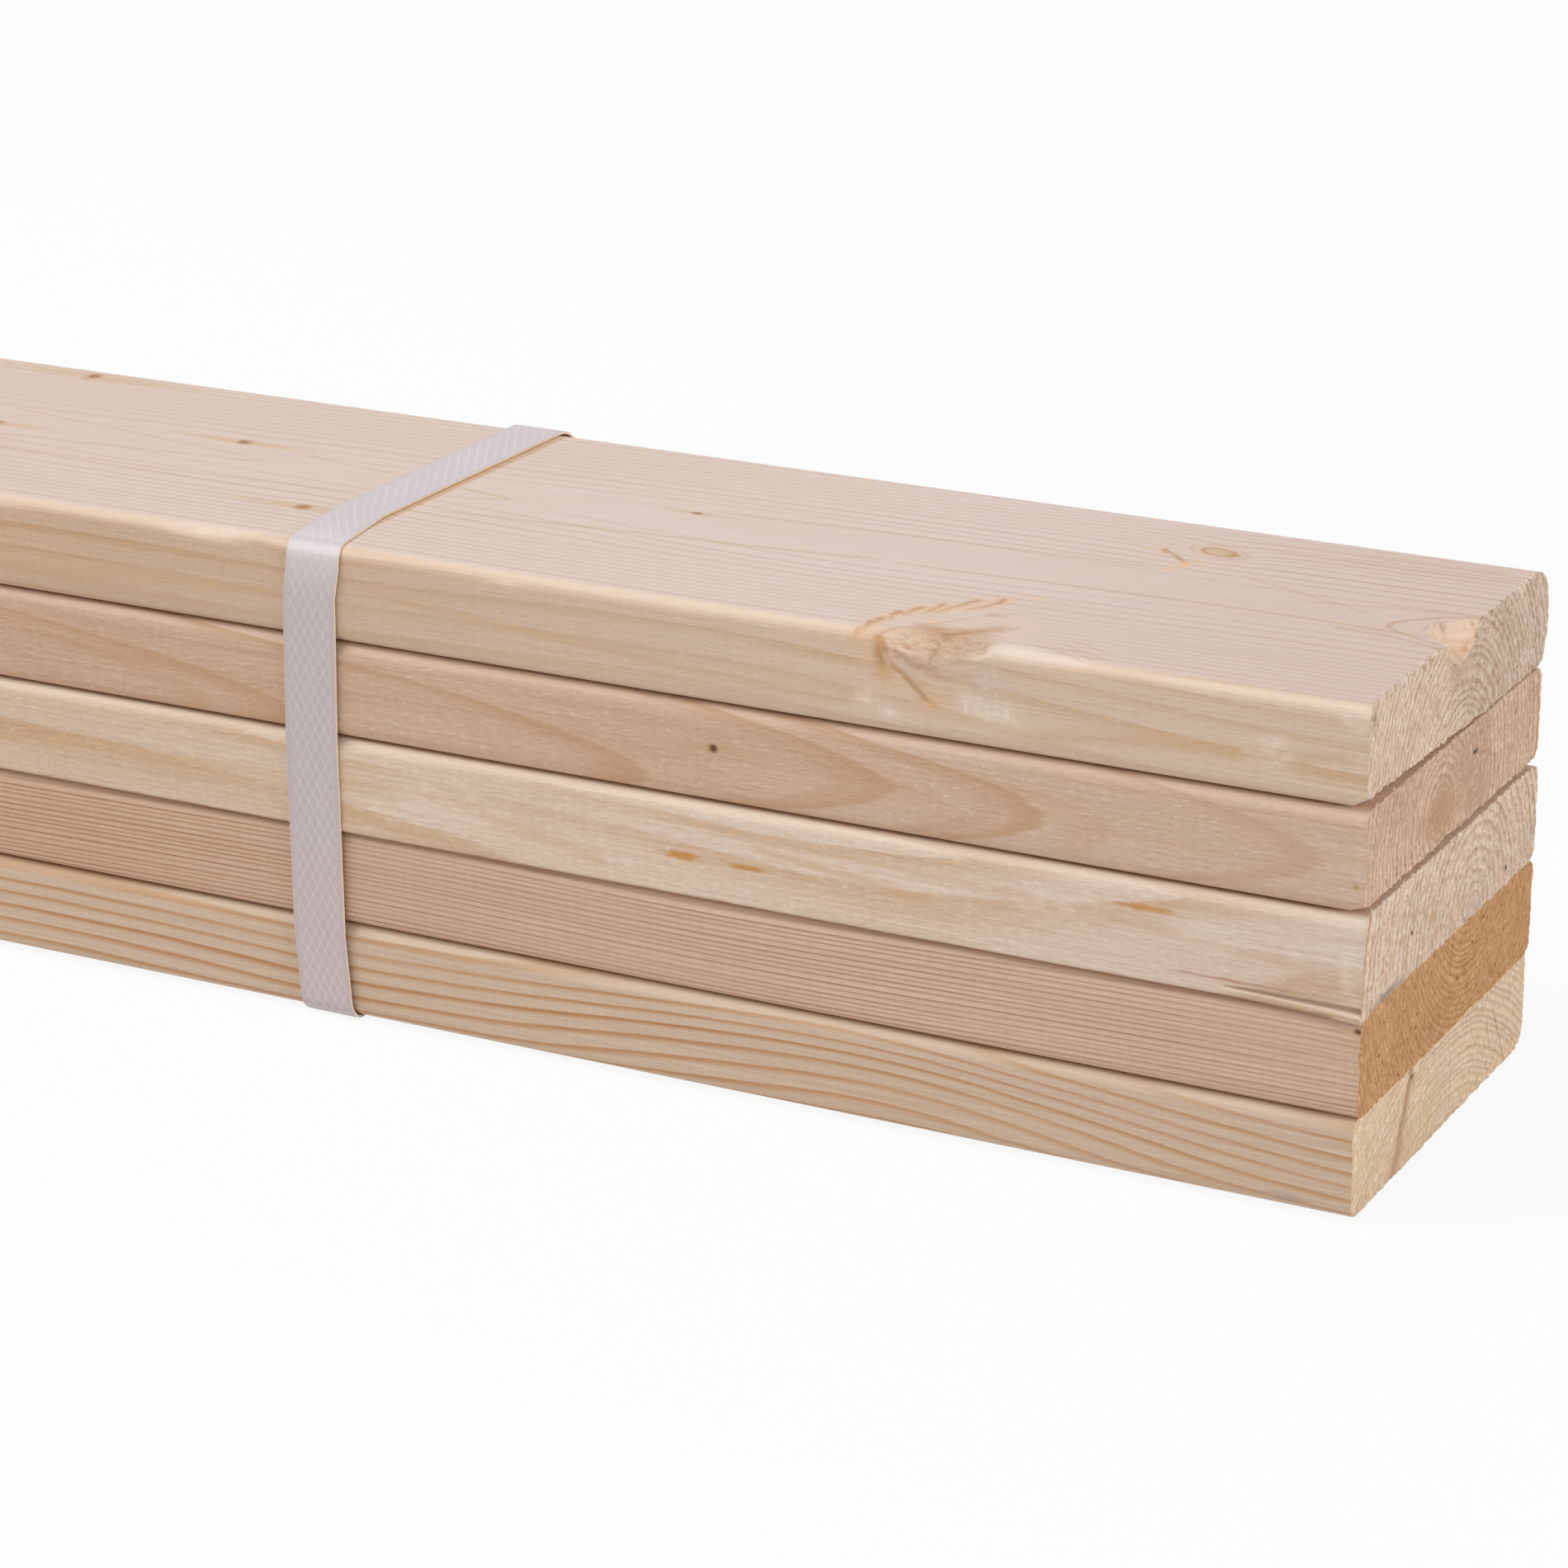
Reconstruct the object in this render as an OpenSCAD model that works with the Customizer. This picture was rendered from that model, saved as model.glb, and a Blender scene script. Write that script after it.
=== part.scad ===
// Bundle of planed softwood studs, stacked flat and held by two plastic straps.
// Millimetres. X runs along the studs, the front of the stack faces -Y and Z is up.
// The origin is the middle of the bundle's footprint, on the floor.

/* [Studs] */
// Length of each stud
stud_len = 1800; // [900:100:6000]
// Width of each stud, across the stack
stud_w = 95; // [60:1:200]
// Thickness of each stud
stud_t = 20; // [16:0.5:50]
// Radius of the planed eased edges
edge_r = 3; // [1:0.5:5]
// Radius of the one edge that was planed almost sharp
sharp_edge_r = 1; // [0.5:0.5:3]
// Radius of the one edge that is worn round
worn_edge_r = 5; // [3:0.5:7]
// How far the waney back edge of the top stud bulges out
wane_rise = 3; // [1:0.5:6]

/* [Stack] */
// How far the least flush studs are out of line at the front
side_step = 0.5; // [0:0.1:2]
// How far the least flush studs are out of line at the ends
end_step = 0.4; // [0:0.1:5]

/* [Knot broken out of the top stud's end] */
// Distance of the broken knot from the front of the stud
knot_from_front = 48; // [25:1:55]
// Radius of the hollow at the top face
knot_mouth_r = 8.5; // [4:0.5:12]
// Depth of the round bowl of the hollow
knot_bowl = 6; // [4:0.5:10]
// Radius of the knot's core where it leaves the bowl
knot_core_r = 4.5; // [2:0.5:6]
// Depth to which the core broke out below the top face
knot_depth = 11; // [6:0.5:15]
// How far the hollow leans towards the back as it goes down
knot_lean = 6; // [0:1:30]
// How far the hollow reaches in from the sawn end
knot_bite = 7.5; // [3:0.5:12]

/* [Knot torn from the top stud's front edge] */
// Distance of the torn place from the sawn end
torn_from_end = 86; // [40:1:150]
// Length of the torn place along the edge
torn_len = 34; // [20:1:60]
// Depth of the torn place below the sharp corner
torn_depth = 2.8; // [1.5:0.1:4]

/* [Split in the middle stud] */
// Length of the split from the sawn end
split_len = 26; // [10:1:60]
// Height of the split above the stud's lower face, at the end
split_rise = 2.6; // [2:0.1:6]
// Opening of the split at the end
split_open = 0.6; // [0.2:0.1:1.5]
// Depth of the split behind the front face
split_reach = 6; // [2:0.5:15]
// How far the split drops towards its inner end
split_drop = 0.6; // [0:0.1:1.5]

/* [Saw break-out under the ends of the two upper studs] */
// Height of the torn lower edge of the fourth stud
breakout_h = 1.3; // [0.5:0.1:4]
// Height of the torn lower edge at the front of the top stud
top_breakout_h = 2.4; // [0.5:0.1:4]
// Distance from the front at which the top stud's torn edge runs out
top_breakout_run = 70; // [20:1:95]
// How far the torn edges reach in from the end
breakout_len = 3.5; // [1:0.5:8]

/* [Straps] */
// Width of the strap band
strap_w = 12; // [9:0.5:19]
// Thickness of the strap band
strap_t = 0.7; // [0.5:0.1:1.2]
// Slack between the band and the studs at the front, back and top
strap_slack = 0.4; // [0.1:0.1:1]
// Distance from the end of the studs to the middle of a strap
strap_from_end = 223; // [160:1:400]
// Length of the welded lap on the back run
lap_len = 38; // [20:1:60]
// Length over which each end of the lap thins out
lap_taper = 1.5; // [0.5:0.5:4]

/* [Hidden] */
$fn = 64;

// Places of the studs from the bottom up, as shares of the two steps
stud_count = 5;
side_share = [1, 0.9, -0.2, 0.3, 0];
end_share = [-0.8, 0.6, 1, 0.1, -0.6];

// Edge radii from the bottom up: front lower, back lower, back upper, front upper
stud_edges = [
  [edge_r, worn_edge_r, edge_r, edge_r],
  [edge_r, edge_r, edge_r, edge_r],
  [sharp_edge_r, edge_r, edge_r, edge_r],
  [edge_r, edge_r, edge_r, edge_r],
  [edge_r, edge_r, edge_r, edge_r]
];
top_stud = stud_count - 1;
split_stud = 2;
breakout_stud = 3;

// Cutting tools reach past the faces that they cut by this much
cut_over = 1;

// Radius of the knot's core at the bottom of its hollow
knot_tip_r = 1;

// Front and back of the stack, from the studs that stand out furthest
stack_front = min(side_share) * side_step;
square_back = stud_w + max(side_share) * side_step;
waney_back = stud_w + wane_rise + side_share[top_stud] * side_step;
stack_back = max(square_back, waney_back);
stack_h = stud_count * stud_t;

// Loop of the band, seen along the studs: its inside rests under the stack
loop_front = stack_front - strap_slack;
loop_w = stack_back + strap_slack - loop_front;
loop_h = stack_h + strap_slack;
loop_r = edge_r + strap_slack;

// The footprint runs from the front run of the band to the lap on its back run
foot_front = loop_front - strap_t;
foot_back = loop_front + loop_w + 2 * strap_t;
foot_mid_y = (foot_front + foot_back) / 2;
foot_mid_x = (max(end_share) + min(end_share)) / 2 * end_step;

wane_r = (pow(stud_t / 2, 2) + pow(wane_rise, 2)) / (2 * wane_rise);
bowl_r = (pow(knot_mouth_r, 2) + pow(knot_bowl, 2)) / (2 * knot_bowl);
torn_r = (pow(torn_len / 2, 2) + pow(torn_depth, 2)) / (2 * torn_depth);

wood_colors = ["#d8b48a", "#cfa67e", "#d9c3a0", "#d6b695", "#dcc6a8"];
strap_color = "#d9d3d6";

// Height that a sloping cut with this height at the end has where its tool stops
function past_end(inner, at_end, run) = inner + (at_end - inner) * (1 + cut_over / run);

// The waste in a corner at the origin that leaves a round edge of radius r
module edge_waste(r) {
  difference() {
    translate([-cut_over, -cut_over])
      square(r + cut_over);
    translate([r, r])
      circle(r);
  }
}

// Section of a stud from its front lower corner, width along X and thickness along Y
module stud_section(edges) {
  difference() {
    square([stud_w, stud_t]);
    edge_waste(edges[0]);
    translate([stud_w, 0])
      mirror([1, 0])
        edge_waste(edges[1]);
    translate([stud_w, stud_t])
      rotate(180)
        edge_waste(edges[2]);
    translate([0, stud_t])
      mirror([0, 1])
        edge_waste(edges[3]);
  }
}

// Section of the top stud, whose back edge still has the round of the log
module waney_section(edges) {
  difference() {
    intersection() {
      square([stud_w + wane_rise, stud_t]);
      translate([stud_w + wane_rise - wane_r, stud_t / 2])
        union() {
          circle(wane_r);
          translate([-stud_w - wane_rise, -stud_t])
            square([stud_w + wane_rise, 2 * stud_t]);
        }
    }
    edge_waste(edges[0]);
    translate([0, stud_t])
      mirror([0, 1])
        edge_waste(edges[3]);
  }
}

// A section drawn in X and Y becomes a stud along X, with its right end at X = 0
module along_stud(length) {
  rotate([90, 0, -90])
    mirror([1, 0, 0])
      linear_extrude(length)
        children();
}

// Puts stud number i, or a cut in it, where it lies in the stack
module place_stud(i) {
  translate([
    stud_len / 2 + end_share[i] * end_step - foot_mid_x,
    side_share[i] * side_step - foot_mid_y,
    strap_t + i * stud_t
  ])
    children();
}

// Hollow left in the end of the top stud by a knot that broke out: a round bowl, and the core below it
module broken_knot() {
  translate([knot_mouth_r - knot_bite, knot_from_front, stud_t])
    rotate([knot_lean, 0, 0]) {
      translate([0, 0, bowl_r - knot_bowl])
        sphere(bowl_r);
      translate([0, 0, -knot_depth])
        cylinder(h = knot_depth - knot_bowl / 2, r1 = knot_tip_r, r2 = knot_core_r);
    }
}

// Shallow hollow in the front upper edge of the top stud, where a knot was torn
module torn_knot() {
  out = (torn_r - torn_depth) / sqrt(2);
  translate([-torn_from_end, -out, stud_t + out])
    sphere(torn_r);
}

// Crack that lifts a sliver off the front lower edge of the middle stud
module split() {
  translate([0, split_reach, 0])
    rotate([90, 0, 0])
      linear_extrude(split_reach + cut_over)
        polygon([
          [cut_over, past_end(split_rise - split_drop, split_rise, split_len)],
          [cut_over, past_end(split_rise - split_drop, split_rise + split_open, split_len)],
          [-split_len, split_rise - split_drop]
        ]);
}

// Loss of height h along the lower edge of the right end, where the saw came out, falling by slope to the back
module saw_breakout(h, slope) {
  rotate([-slope, 0, 0])
    translate([0, stud_w + wane_rise + cut_over, 0])
      rotate([90, 0, 0])
        linear_extrude(stud_w + wane_rise + 2 * cut_over)
          polygon([
            [-breakout_len, -stud_t],
            [cut_over, -stud_t],
            [cut_over, past_end(0, h, breakout_len)],
            [-breakout_len, 0]
          ]);
}

module stud(i) {
  color(wood_colors[i])
    place_stud(i)
      difference() {
        along_stud(stud_len) {
          if (i == top_stud) {
            waney_section(stud_edges[i]);
          } else {
            stud_section(stud_edges[i]);
          }
        }
        if (i == top_stud) {
          broken_knot();
          torn_knot();
        }
        if (i == split_stud)
          split();
        if (i == breakout_stud)
          saw_breakout(breakout_h, 0);
        if (i == top_stud)
          saw_breakout(top_breakout_h, atan(top_breakout_h / top_breakout_run));
      }
}

// Rectangle with round corners, from its lower left corner
module round_rectangle(w, h, r) {
  translate([r, 0])
    square([w - 2 * r, h]);
  translate([0, r])
    square([w, h - 2 * r]);
  for (x = [r, w - r], y = [r, h - r])
    translate([x, y])
      circle(r);
}

// Ends of the band welded over each other, on the outside of the back run
module lap_section() {
  translate([loop_w + strap_t, (loop_h - lap_len) / 2])
    polygon([
      [-strap_t / 2, 0],
      [0, 0],
      [strap_t, lap_taper],
      [strap_t, lap_len - lap_taper],
      [0, lap_len],
      [-strap_t / 2, lap_len]
    ]);
}

// The band seen along the studs: one closed loop with its welded lap
module band_section() {
  difference() {
    translate([-strap_t, -strap_t])
      round_rectangle(loop_w + 2 * strap_t, loop_h + 2 * strap_t, loop_r + strap_t);
    round_rectangle(loop_w, loop_h, loop_r);
  }
  lap_section();
}

// A strap whose middle is at x, measured from the middle of the bundle
module strap(x) {
  color(strap_color)
    translate([x + strap_w / 2, loop_front - foot_mid_y, strap_t])
      along_stud(strap_w)
        band_section();
}

stud(0);  // stud_1
stud(1);  // stud_2
stud(2);  // stud_3
stud(3);  // stud_4
stud(4);  // stud_5
strap(stud_len / 2 - strap_from_end);  // strap_right
strap(strap_from_end - stud_len / 2);  // strap_left
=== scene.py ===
# Bundle of planed pine studs, stacked flat and held by two embossed plastic bands.
# Blender works in metres. A place on a stud is in millimetres: u along it from the right end
# (so it is negative), v from its front and w from its underside.
import math

import bmesh
import bpy
import numpy as np
from mathutils import Matrix, Vector


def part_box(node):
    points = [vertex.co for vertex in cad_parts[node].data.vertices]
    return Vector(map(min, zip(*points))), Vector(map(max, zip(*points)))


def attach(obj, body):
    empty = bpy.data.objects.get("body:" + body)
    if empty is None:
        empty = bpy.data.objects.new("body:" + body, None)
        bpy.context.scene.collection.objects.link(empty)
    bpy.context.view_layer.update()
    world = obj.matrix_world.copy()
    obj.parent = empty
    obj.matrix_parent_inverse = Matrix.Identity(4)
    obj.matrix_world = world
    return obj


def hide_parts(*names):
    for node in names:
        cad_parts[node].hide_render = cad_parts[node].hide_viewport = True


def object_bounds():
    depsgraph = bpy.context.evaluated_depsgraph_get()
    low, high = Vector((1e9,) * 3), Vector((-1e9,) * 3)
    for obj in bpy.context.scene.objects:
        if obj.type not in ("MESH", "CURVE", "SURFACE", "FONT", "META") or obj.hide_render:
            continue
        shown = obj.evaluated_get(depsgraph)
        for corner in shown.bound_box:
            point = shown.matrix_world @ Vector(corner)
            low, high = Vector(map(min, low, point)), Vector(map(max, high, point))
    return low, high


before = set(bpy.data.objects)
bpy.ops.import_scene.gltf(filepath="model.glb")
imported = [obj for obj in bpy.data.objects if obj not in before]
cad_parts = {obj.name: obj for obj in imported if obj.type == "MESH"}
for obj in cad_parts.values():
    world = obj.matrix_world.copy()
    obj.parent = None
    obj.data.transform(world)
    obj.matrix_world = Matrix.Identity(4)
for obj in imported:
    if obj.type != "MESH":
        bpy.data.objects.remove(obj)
cadLow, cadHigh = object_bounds()
mm = 0.001
print("frame loaded,", len(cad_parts), "CAD nodes")

scene = bpy.context.scene
scene.view_settings.view_transform = "Standard"


# Camera, floor and light

camera = {
    "place": (1.16782, -0.78848, 0.36451),
    "heading": 27.503,  # degrees, turned left from looking along +Y
    "pitch": 19.628,  # degrees, looking down
    "roll": -0.158,
    "lens": 107.285,
    "sensor": 36.0,
}


def makeCamera(spec):
    data = bpy.data.cameras.new("photoCamera")
    data.lens = spec["lens"]
    data.sensor_fit = "HORIZONTAL"
    data.sensor_width = spec["sensor"]
    data.clip_start = 0.01
    data.clip_end = 100.0
    turn = Matrix.Rotation(math.radians(spec["heading"]), 4, "Z")
    turn @= Matrix.Rotation(math.radians(90.0 - spec["pitch"]), 4, "X")
    turn @= Matrix.Rotation(math.radians(spec["roll"]), 4, "Z")
    obj = bpy.data.objects.new("photoCamera", data)
    obj.matrix_world = Matrix.Translation(spec["place"]) @ turn
    scene.collection.objects.link(obj)
    scene.camera = obj


class Wire:
    # a node socket that sums can be written with
    def __init__(self, tree, socket):
        self.tree = tree
        self.socket = socket

    def __add__(self, other):
        return maths(self.tree, "ADD", self, other)

    def __radd__(self, other):
        return maths(self.tree, "ADD", other, self)

    def __sub__(self, other):
        return maths(self.tree, "SUBTRACT", self, other)

    def __rsub__(self, other):
        return maths(self.tree, "SUBTRACT", other, self)

    def __mul__(self, other):
        return maths(self.tree, "MULTIPLY", self, other)

    def __rmul__(self, other):
        return maths(self.tree, "MULTIPLY", other, self)

    def __truediv__(self, other):
        return maths(self.tree, "DIVIDE", self, other)


def plug(tree, source, target):
    # a wire is linked, and a plain number, vector or colour is set on the socket itself
    if isinstance(source, Wire):
        tree.links.new(source.socket, target)
    elif target.type == "RGBA":
        target.default_value = (*source[:3], 1.0)
    else:
        target.default_value = source


def addNode(tree, kind, inputs=(), **settings):
    node = tree.nodes.new(kind)
    for name, value in settings.items():
        setattr(node, name, value)
    for key, value in dict(inputs).items():
        plug(tree, value, node.inputs[key])
    return node


def maths(tree, operation, *values):
    node = addNode(tree, "ShaderNodeMath", enumerate(values), operation=operation)
    return Wire(tree, node.outputs[0])


def absolute(wire):
    return maths(wire.tree, "ABSOLUTE", wire)


def root(wire):
    return maths(wire.tree, "SQRT", wire)


def least(first, second):
    return maths(first.tree, "MINIMUM", first, second)


def most(first, second):
    return maths(first.tree, "MAXIMUM", first, second)


def falloff(wire):
    # 1 at zero, falling away on both sides as a bell
    return maths(wire.tree, "EXPONENT", wire * wire * -1.0)


def ramp(wire, low, high, start=0.0, end=1.0):
    # soft step from start at low to end at high
    values = enumerate((wire, low, high, start, end))
    node = addNode(wire.tree, "ShaderNodeMapRange", values, interpolation_type="SMOOTHSTEP")
    return Wire(wire.tree, node.outputs[0])


def vector(tree, x, y, z):
    node = addNode(tree, "ShaderNodeCombineXYZ", enumerate((x, y, z)))
    return Wire(tree, node.outputs[0])


def parts(wire):
    node = addNode(wire.tree, "ShaderNodeSeparateXYZ", {0: wire})
    return [Wire(wire.tree, out) for out in node.outputs]


def vectorMaths(tree, operation, *values):
    node = addNode(tree, "ShaderNodeVectorMath", enumerate(values), operation=operation)
    return Wire(tree, node.outputs[0])


def stretched(place, pace, seed=0.0):
    # place measured with its own pace along u, v and w, and moved by the seed
    return vectorMaths(place.tree, "MULTIPLY_ADD", place, pace, (seed * 3.7, seed * 1.3, seed))


def noise(place, detail=2.0, rough=0.5):
    inputs = {"Vector": place, "Scale": 1.0, "Detail": detail, "Roughness": rough}
    node = addNode(place.tree, "ShaderNodeTexNoise", inputs)
    return Wire(place.tree, node.outputs[0])


def grain(place, pace, seed=0.0, detail=2.0, rough=0.5):
    # noise around zero, from about -0.5 to 0.5
    return noise(stretched(place, pace, seed), detail, rough) - 0.5


def blend(amount, first, second):
    node = addNode(amount.tree, "ShaderNodeMix", {0: amount}, data_type="RGBA")
    plug(amount.tree, first, node.inputs[6])
    plug(amount.tree, second, node.inputs[7])
    return Wire(amount.tree, node.outputs[2])


def scaled(wire, level):
    node = addNode(wire.tree, "ShaderNodeVectorMath", {0: wire, 3: level}, operation="SCALE")
    return Wire(wire.tree, node.outputs[0])


def tinted(colour, amount, tint):
    return blend(amount, colour, vectorMaths(colour.tree, "MULTIPLY", colour, tint))


def warmed(colour, level):
    # brighter or darker by level, where the darker parts turn more orange
    gain = vector(colour.tree, level * 0.65 + 1.0, level + 1.0, level * 1.4 + 1.0)
    return vectorMaths(colour.tree, "MULTIPLY", colour, gain)


def passOn(tree, geometry, kind, inputs=(), **settings):
    # one more node on a geometry, and the geometry that comes out of it
    node = addNode(tree, kind, inputs, **settings)
    plug(tree, geometry, node.inputs["Geometry"])
    return Wire(tree, node.outputs[0])


def newGroup(name, kind, inputs, outputs):
    tree = bpy.data.node_groups.new(name, kind)
    for label, socket in inputs:
        tree.interface.new_socket(name=label, in_out="INPUT", socket_type="NodeSocket" + socket)
    for label, socket in outputs:
        tree.interface.new_socket(name=label, in_out="OUTPUT", socket_type="NodeSocket" + socket)
    source = tree.nodes.new("NodeGroupInput")
    sink = tree.nodes.new("NodeGroupOutput")
    given = {s.name: Wire(tree, s) for s in source.outputs if s.name}
    return tree, given, sink


def useGroup(tree, group, inputs):
    node = tree.nodes.new("ShaderNodeGroup")
    node.node_tree = group
    for label, value in inputs.items():
        plug(tree, value, node.inputs[label])
    return {s.name: Wire(tree, s) for s in node.outputs}


def newMaterial(name):
    material = bpy.data.materials.new(name)
    material.use_nodes = True
    tree = material.node_tree
    tree.nodes.clear()
    return material, tree


bumpDepth = {"planed": 0.00022, "sawn": 0.0007, "band": 0.00004}


def finishMaterial(tree, inputs, height=None, depth=0.0):
    # the shader at the end of a material, with height as bump of that depth in metres
    shader = addNode(tree, "ShaderNodeBsdfPrincipled", inputs)
    if height is not None:
        bump = addNode(tree, "ShaderNodeBump", {"Height": height, "Distance": depth, "Strength": 1.0})
        tree.links.new(bump.outputs[0], shader.inputs["Normal"])
    out = tree.nodes.new("ShaderNodeOutputMaterial")
    tree.links.new(shader.outputs[0], out.inputs[0])


studio = {
    "ambient": 0.38,
    "floorRadius": 40.0,
    "floorColour": (0.86, 0.86, 0.86),
    "floorGlow": 0.9,  # share of plain white that the camera sees on the floor
    "lamps": {
        "keyLamp": {"place": (-0.5, -0.8, 2.18), "aim": (0.72, 0.0, 0.1), "size": (1.4, 1.0), "power": 36.0},
        "sideLamp": {"place": (3.3, -0.5, 0.8), "aim": (0.7, 0.0, 0.05), "size": (1.2, 1.2), "power": 26.0},
        "backLamp": {"place": (-0.6, 2.4, 1.6), "aim": (0.0, 0.0, 0.05), "size": (2.4, 1.0), "power": 9.0},
    },
}


def seenDirectly(tree):
    # 1 where the camera sees the surface, straight on or in a reflection
    path = tree.nodes.new("ShaderNodeLightPath")
    rays = [Wire(tree, path.outputs[n]) for n in ("Is Camera Ray", "Is Glossy Ray", "Is Transmission Ray")]
    return most(most(rays[0], rays[1]), rays[2])


def makeStudio(spec):
    world = bpy.data.worlds.new("studio")
    world.use_nodes = True
    tree = world.node_tree
    tree.nodes.clear()
    level = seenDirectly(tree) * (1.0 - spec["ambient"]) + spec["ambient"]
    background = addNode(tree, "ShaderNodeBackground", {"Color": (1.0, 1.0, 1.0), "Strength": level})
    out = tree.nodes.new("ShaderNodeOutputWorld")
    tree.links.new(background.outputs[0], out.inputs[0])
    scene.world = world

    mesh = bpy.data.meshes.new("studioFloor")
    shape = bmesh.new()
    bmesh.ops.create_circle(shape, cap_ends=True, segments=64, radius=spec["floorRadius"])
    shape.to_mesh(mesh)
    shape.free()
    floor = bpy.data.objects.new("studioFloor", mesh)
    material, tree = newMaterial("studioFloor")
    matte = addNode(tree, "ShaderNodeBsdfDiffuse", {"Color": spec["floorColour"]})
    glow = addNode(tree, "ShaderNodeEmission", {"Color": (1.0, 1.0, 1.0), "Strength": 1.0})
    mix = addNode(tree, "ShaderNodeMixShader", {0: seenDirectly(tree) * spec["floorGlow"]})
    tree.links.new(matte.outputs[0], mix.inputs[1])
    tree.links.new(glow.outputs[0], mix.inputs[2])
    out = tree.nodes.new("ShaderNodeOutputMaterial")
    tree.links.new(mix.outputs[0], out.inputs[0])
    mesh.materials.append(material)
    scene.collection.objects.link(floor)

    for name, lamp in spec["lamps"].items():
        data = bpy.data.lights.new(name, "AREA")
        data.shape = "RECTANGLE"
        data.size, data.size_y = lamp["size"]
        data.energy = lamp["power"]
        obj = bpy.data.objects.new(name, data)
        aim = Vector(lamp["aim"]) - Vector(lamp["place"])
        obj.location = lamp["place"]
        obj.rotation_euler = aim.to_track_quat("-Z", "Y").to_euler()
        scene.collection.objects.link(obj)


makeCamera(camera)
makeStudio(studio)
print("camera and studio made")


# Wood

crumblyZone = (36.0, 58.0)  # from the front, where the ends turn from the first crumbliness to the second


def growthRingGroup():
    # circles round a pith that drifts and wavers along the stud, cut by the surface
    names = ["Pith across", "Pith up", "Lean across", "Lean up"]
    names += ["Gap", "Sway", "Wobble", "Soft", "Seed", "Push"]
    inputs = [("Place", "Vector")] + [(name, "Float") for name in names]
    outputs = [("Line", "Float"), ("Ring", "Float")]
    tree, given, sink = newGroup("growth rings", "ShaderNodeTree", inputs, outputs)
    place, seed, gap = given["Place"], given["Seed"], given["Gap"]
    u, v, w = parts(place)
    moved = vectorMaths(tree, "ADD", place, vector(tree, seed * 211.0, seed * 17.0, seed * 5.0))
    drift = maths(tree, "SINE", u * 0.011 + seed * 2.1) + maths(tree, "SINE", u * 0.029 + seed * 4.7) * 0.4
    climb = maths(tree, "SINE", u * 0.014 + seed * 1.3) + maths(tree, "SINE", u * 0.037 + seed * 3.1) * 0.3
    across = v - given["Pith across"] - u * given["Lean across"] * mm + drift * given["Sway"]
    up = w - given["Pith up"] - u * given["Lean up"] * mm + climb * given["Sway"]
    waver = grain(moved, (0.012, 0.05, 0.05), 0.0, 3.0, 0.4)
    radius = root(across * across + up * up) + given["Push"] + waver * given["Wobble"] * 2.0
    uneven = noise(vector(tree, radius / gap * 0.35, seed, 3.1), 0.0) - 0.5
    phase = radius / gap + uneven * 1.4
    part = maths(tree, "FRACT", phase)
    count = maths(tree, "FLOOR", phase) + seed * 31.0
    chance = addNode(tree, "ShaderNodeTexWhiteNoise", {"W": count}, noise_dimensions="1D")
    plug(tree, ramp(part, given["Soft"], 0.88) * ramp(part, 1.0, 0.92), sink.inputs["Line"])
    plug(tree, Wire(tree, chance.outputs["Value"]), sink.inputs["Ring"])
    return tree


def knotGroup():
    # distance from one knot in its own sizes, and how far it pushes the growth rings aside
    inputs = [("Place", "Vector"), ("Centre", "Vector"), ("Size", "Float"), ("Stretch", "Float")]
    inputs += [("Lift", "Float"), ("Reach", "Float"), ("Ragged", "Float"), ("Push", "Float")]
    inputs += [("Nearest", "Float"), ("Tail", "Float")]
    outputs = [("Push", "Float"), ("Nearest", "Float"), ("Tail", "Float")]
    tree, given, sink = newGroup("knot", "ShaderNodeTree", inputs, outputs)
    away = vectorMaths(tree, "SUBTRACT", given["Place"], given["Centre"])
    u, v, w = parts(away)
    along = u / given["Stretch"]
    beside = v * v + w * w
    far = root(along * along + beside)
    plug(tree, least(given["Nearest"], far / given["Size"] + given["Ragged"]), sink.inputs["Nearest"])
    push = falloff(far / (given["Size"] * given["Reach"])) * given["Lift"]
    plug(tree, given["Push"] + push, sink.inputs["Push"])
    tail = root(u * u * 0.012 + beside) / given["Size"] + given["Ragged"]
    plug(tree, least(given["Tail"], tail), sink.inputs["Tail"])
    return tree


growthRings = growthRingGroup()
knotShape = knotGroup()


def stackKnots(tree, place, knots, ragged):
    # knots of one kind: the nearest one's distance and tail along the grain, and the push of them all
    state = {"Push": 0.0, "Nearest": 50.0, "Tail": 50.0}
    for knot in knots:
        inputs = {"Place": place, "Centre": knot["at"], "Size": knot["size"], "Ragged": ragged}
        inputs["Stretch"] = knot.get("stretch", 1.6)
        inputs["Lift"] = knot.get("lift", 0.8)
        inputs["Reach"] = knot.get("reach", 3.0)
        state = useGroup(tree, knotShape, {**inputs, **state})
    return state


def studPlace(tree, corner):
    # millimetres from the stud's right end, front and underside
    coords = tree.nodes.new("ShaderNodeTexCoord")
    away = vectorMaths(tree, "SUBTRACT", Wire(tree, coords.outputs["Object"]), tuple(corner))
    return scaled(away, 1.0 / mm)


def ringsOf(tree, place, look, pith, gap, soft, push):
    inputs = {"Place": place, "Push": push, "Gap": gap, "Seed": look["seed"]}
    inputs.update({"Pith across": pith[0], "Pith up": pith[1]})
    inputs.update({"Lean across": look["lean"][0], "Lean up": look["lean"][1]})
    inputs.update({"Sway": look["sway"], "Wobble": look["wobble"], "Soft": soft})
    return useGroup(tree, growthRings, inputs)


def pointValue(tree, name):
    node = addNode(tree, "ShaderNodeAttribute", attribute_name=name)
    return Wire(tree, node.outputs["Fac"])


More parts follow.
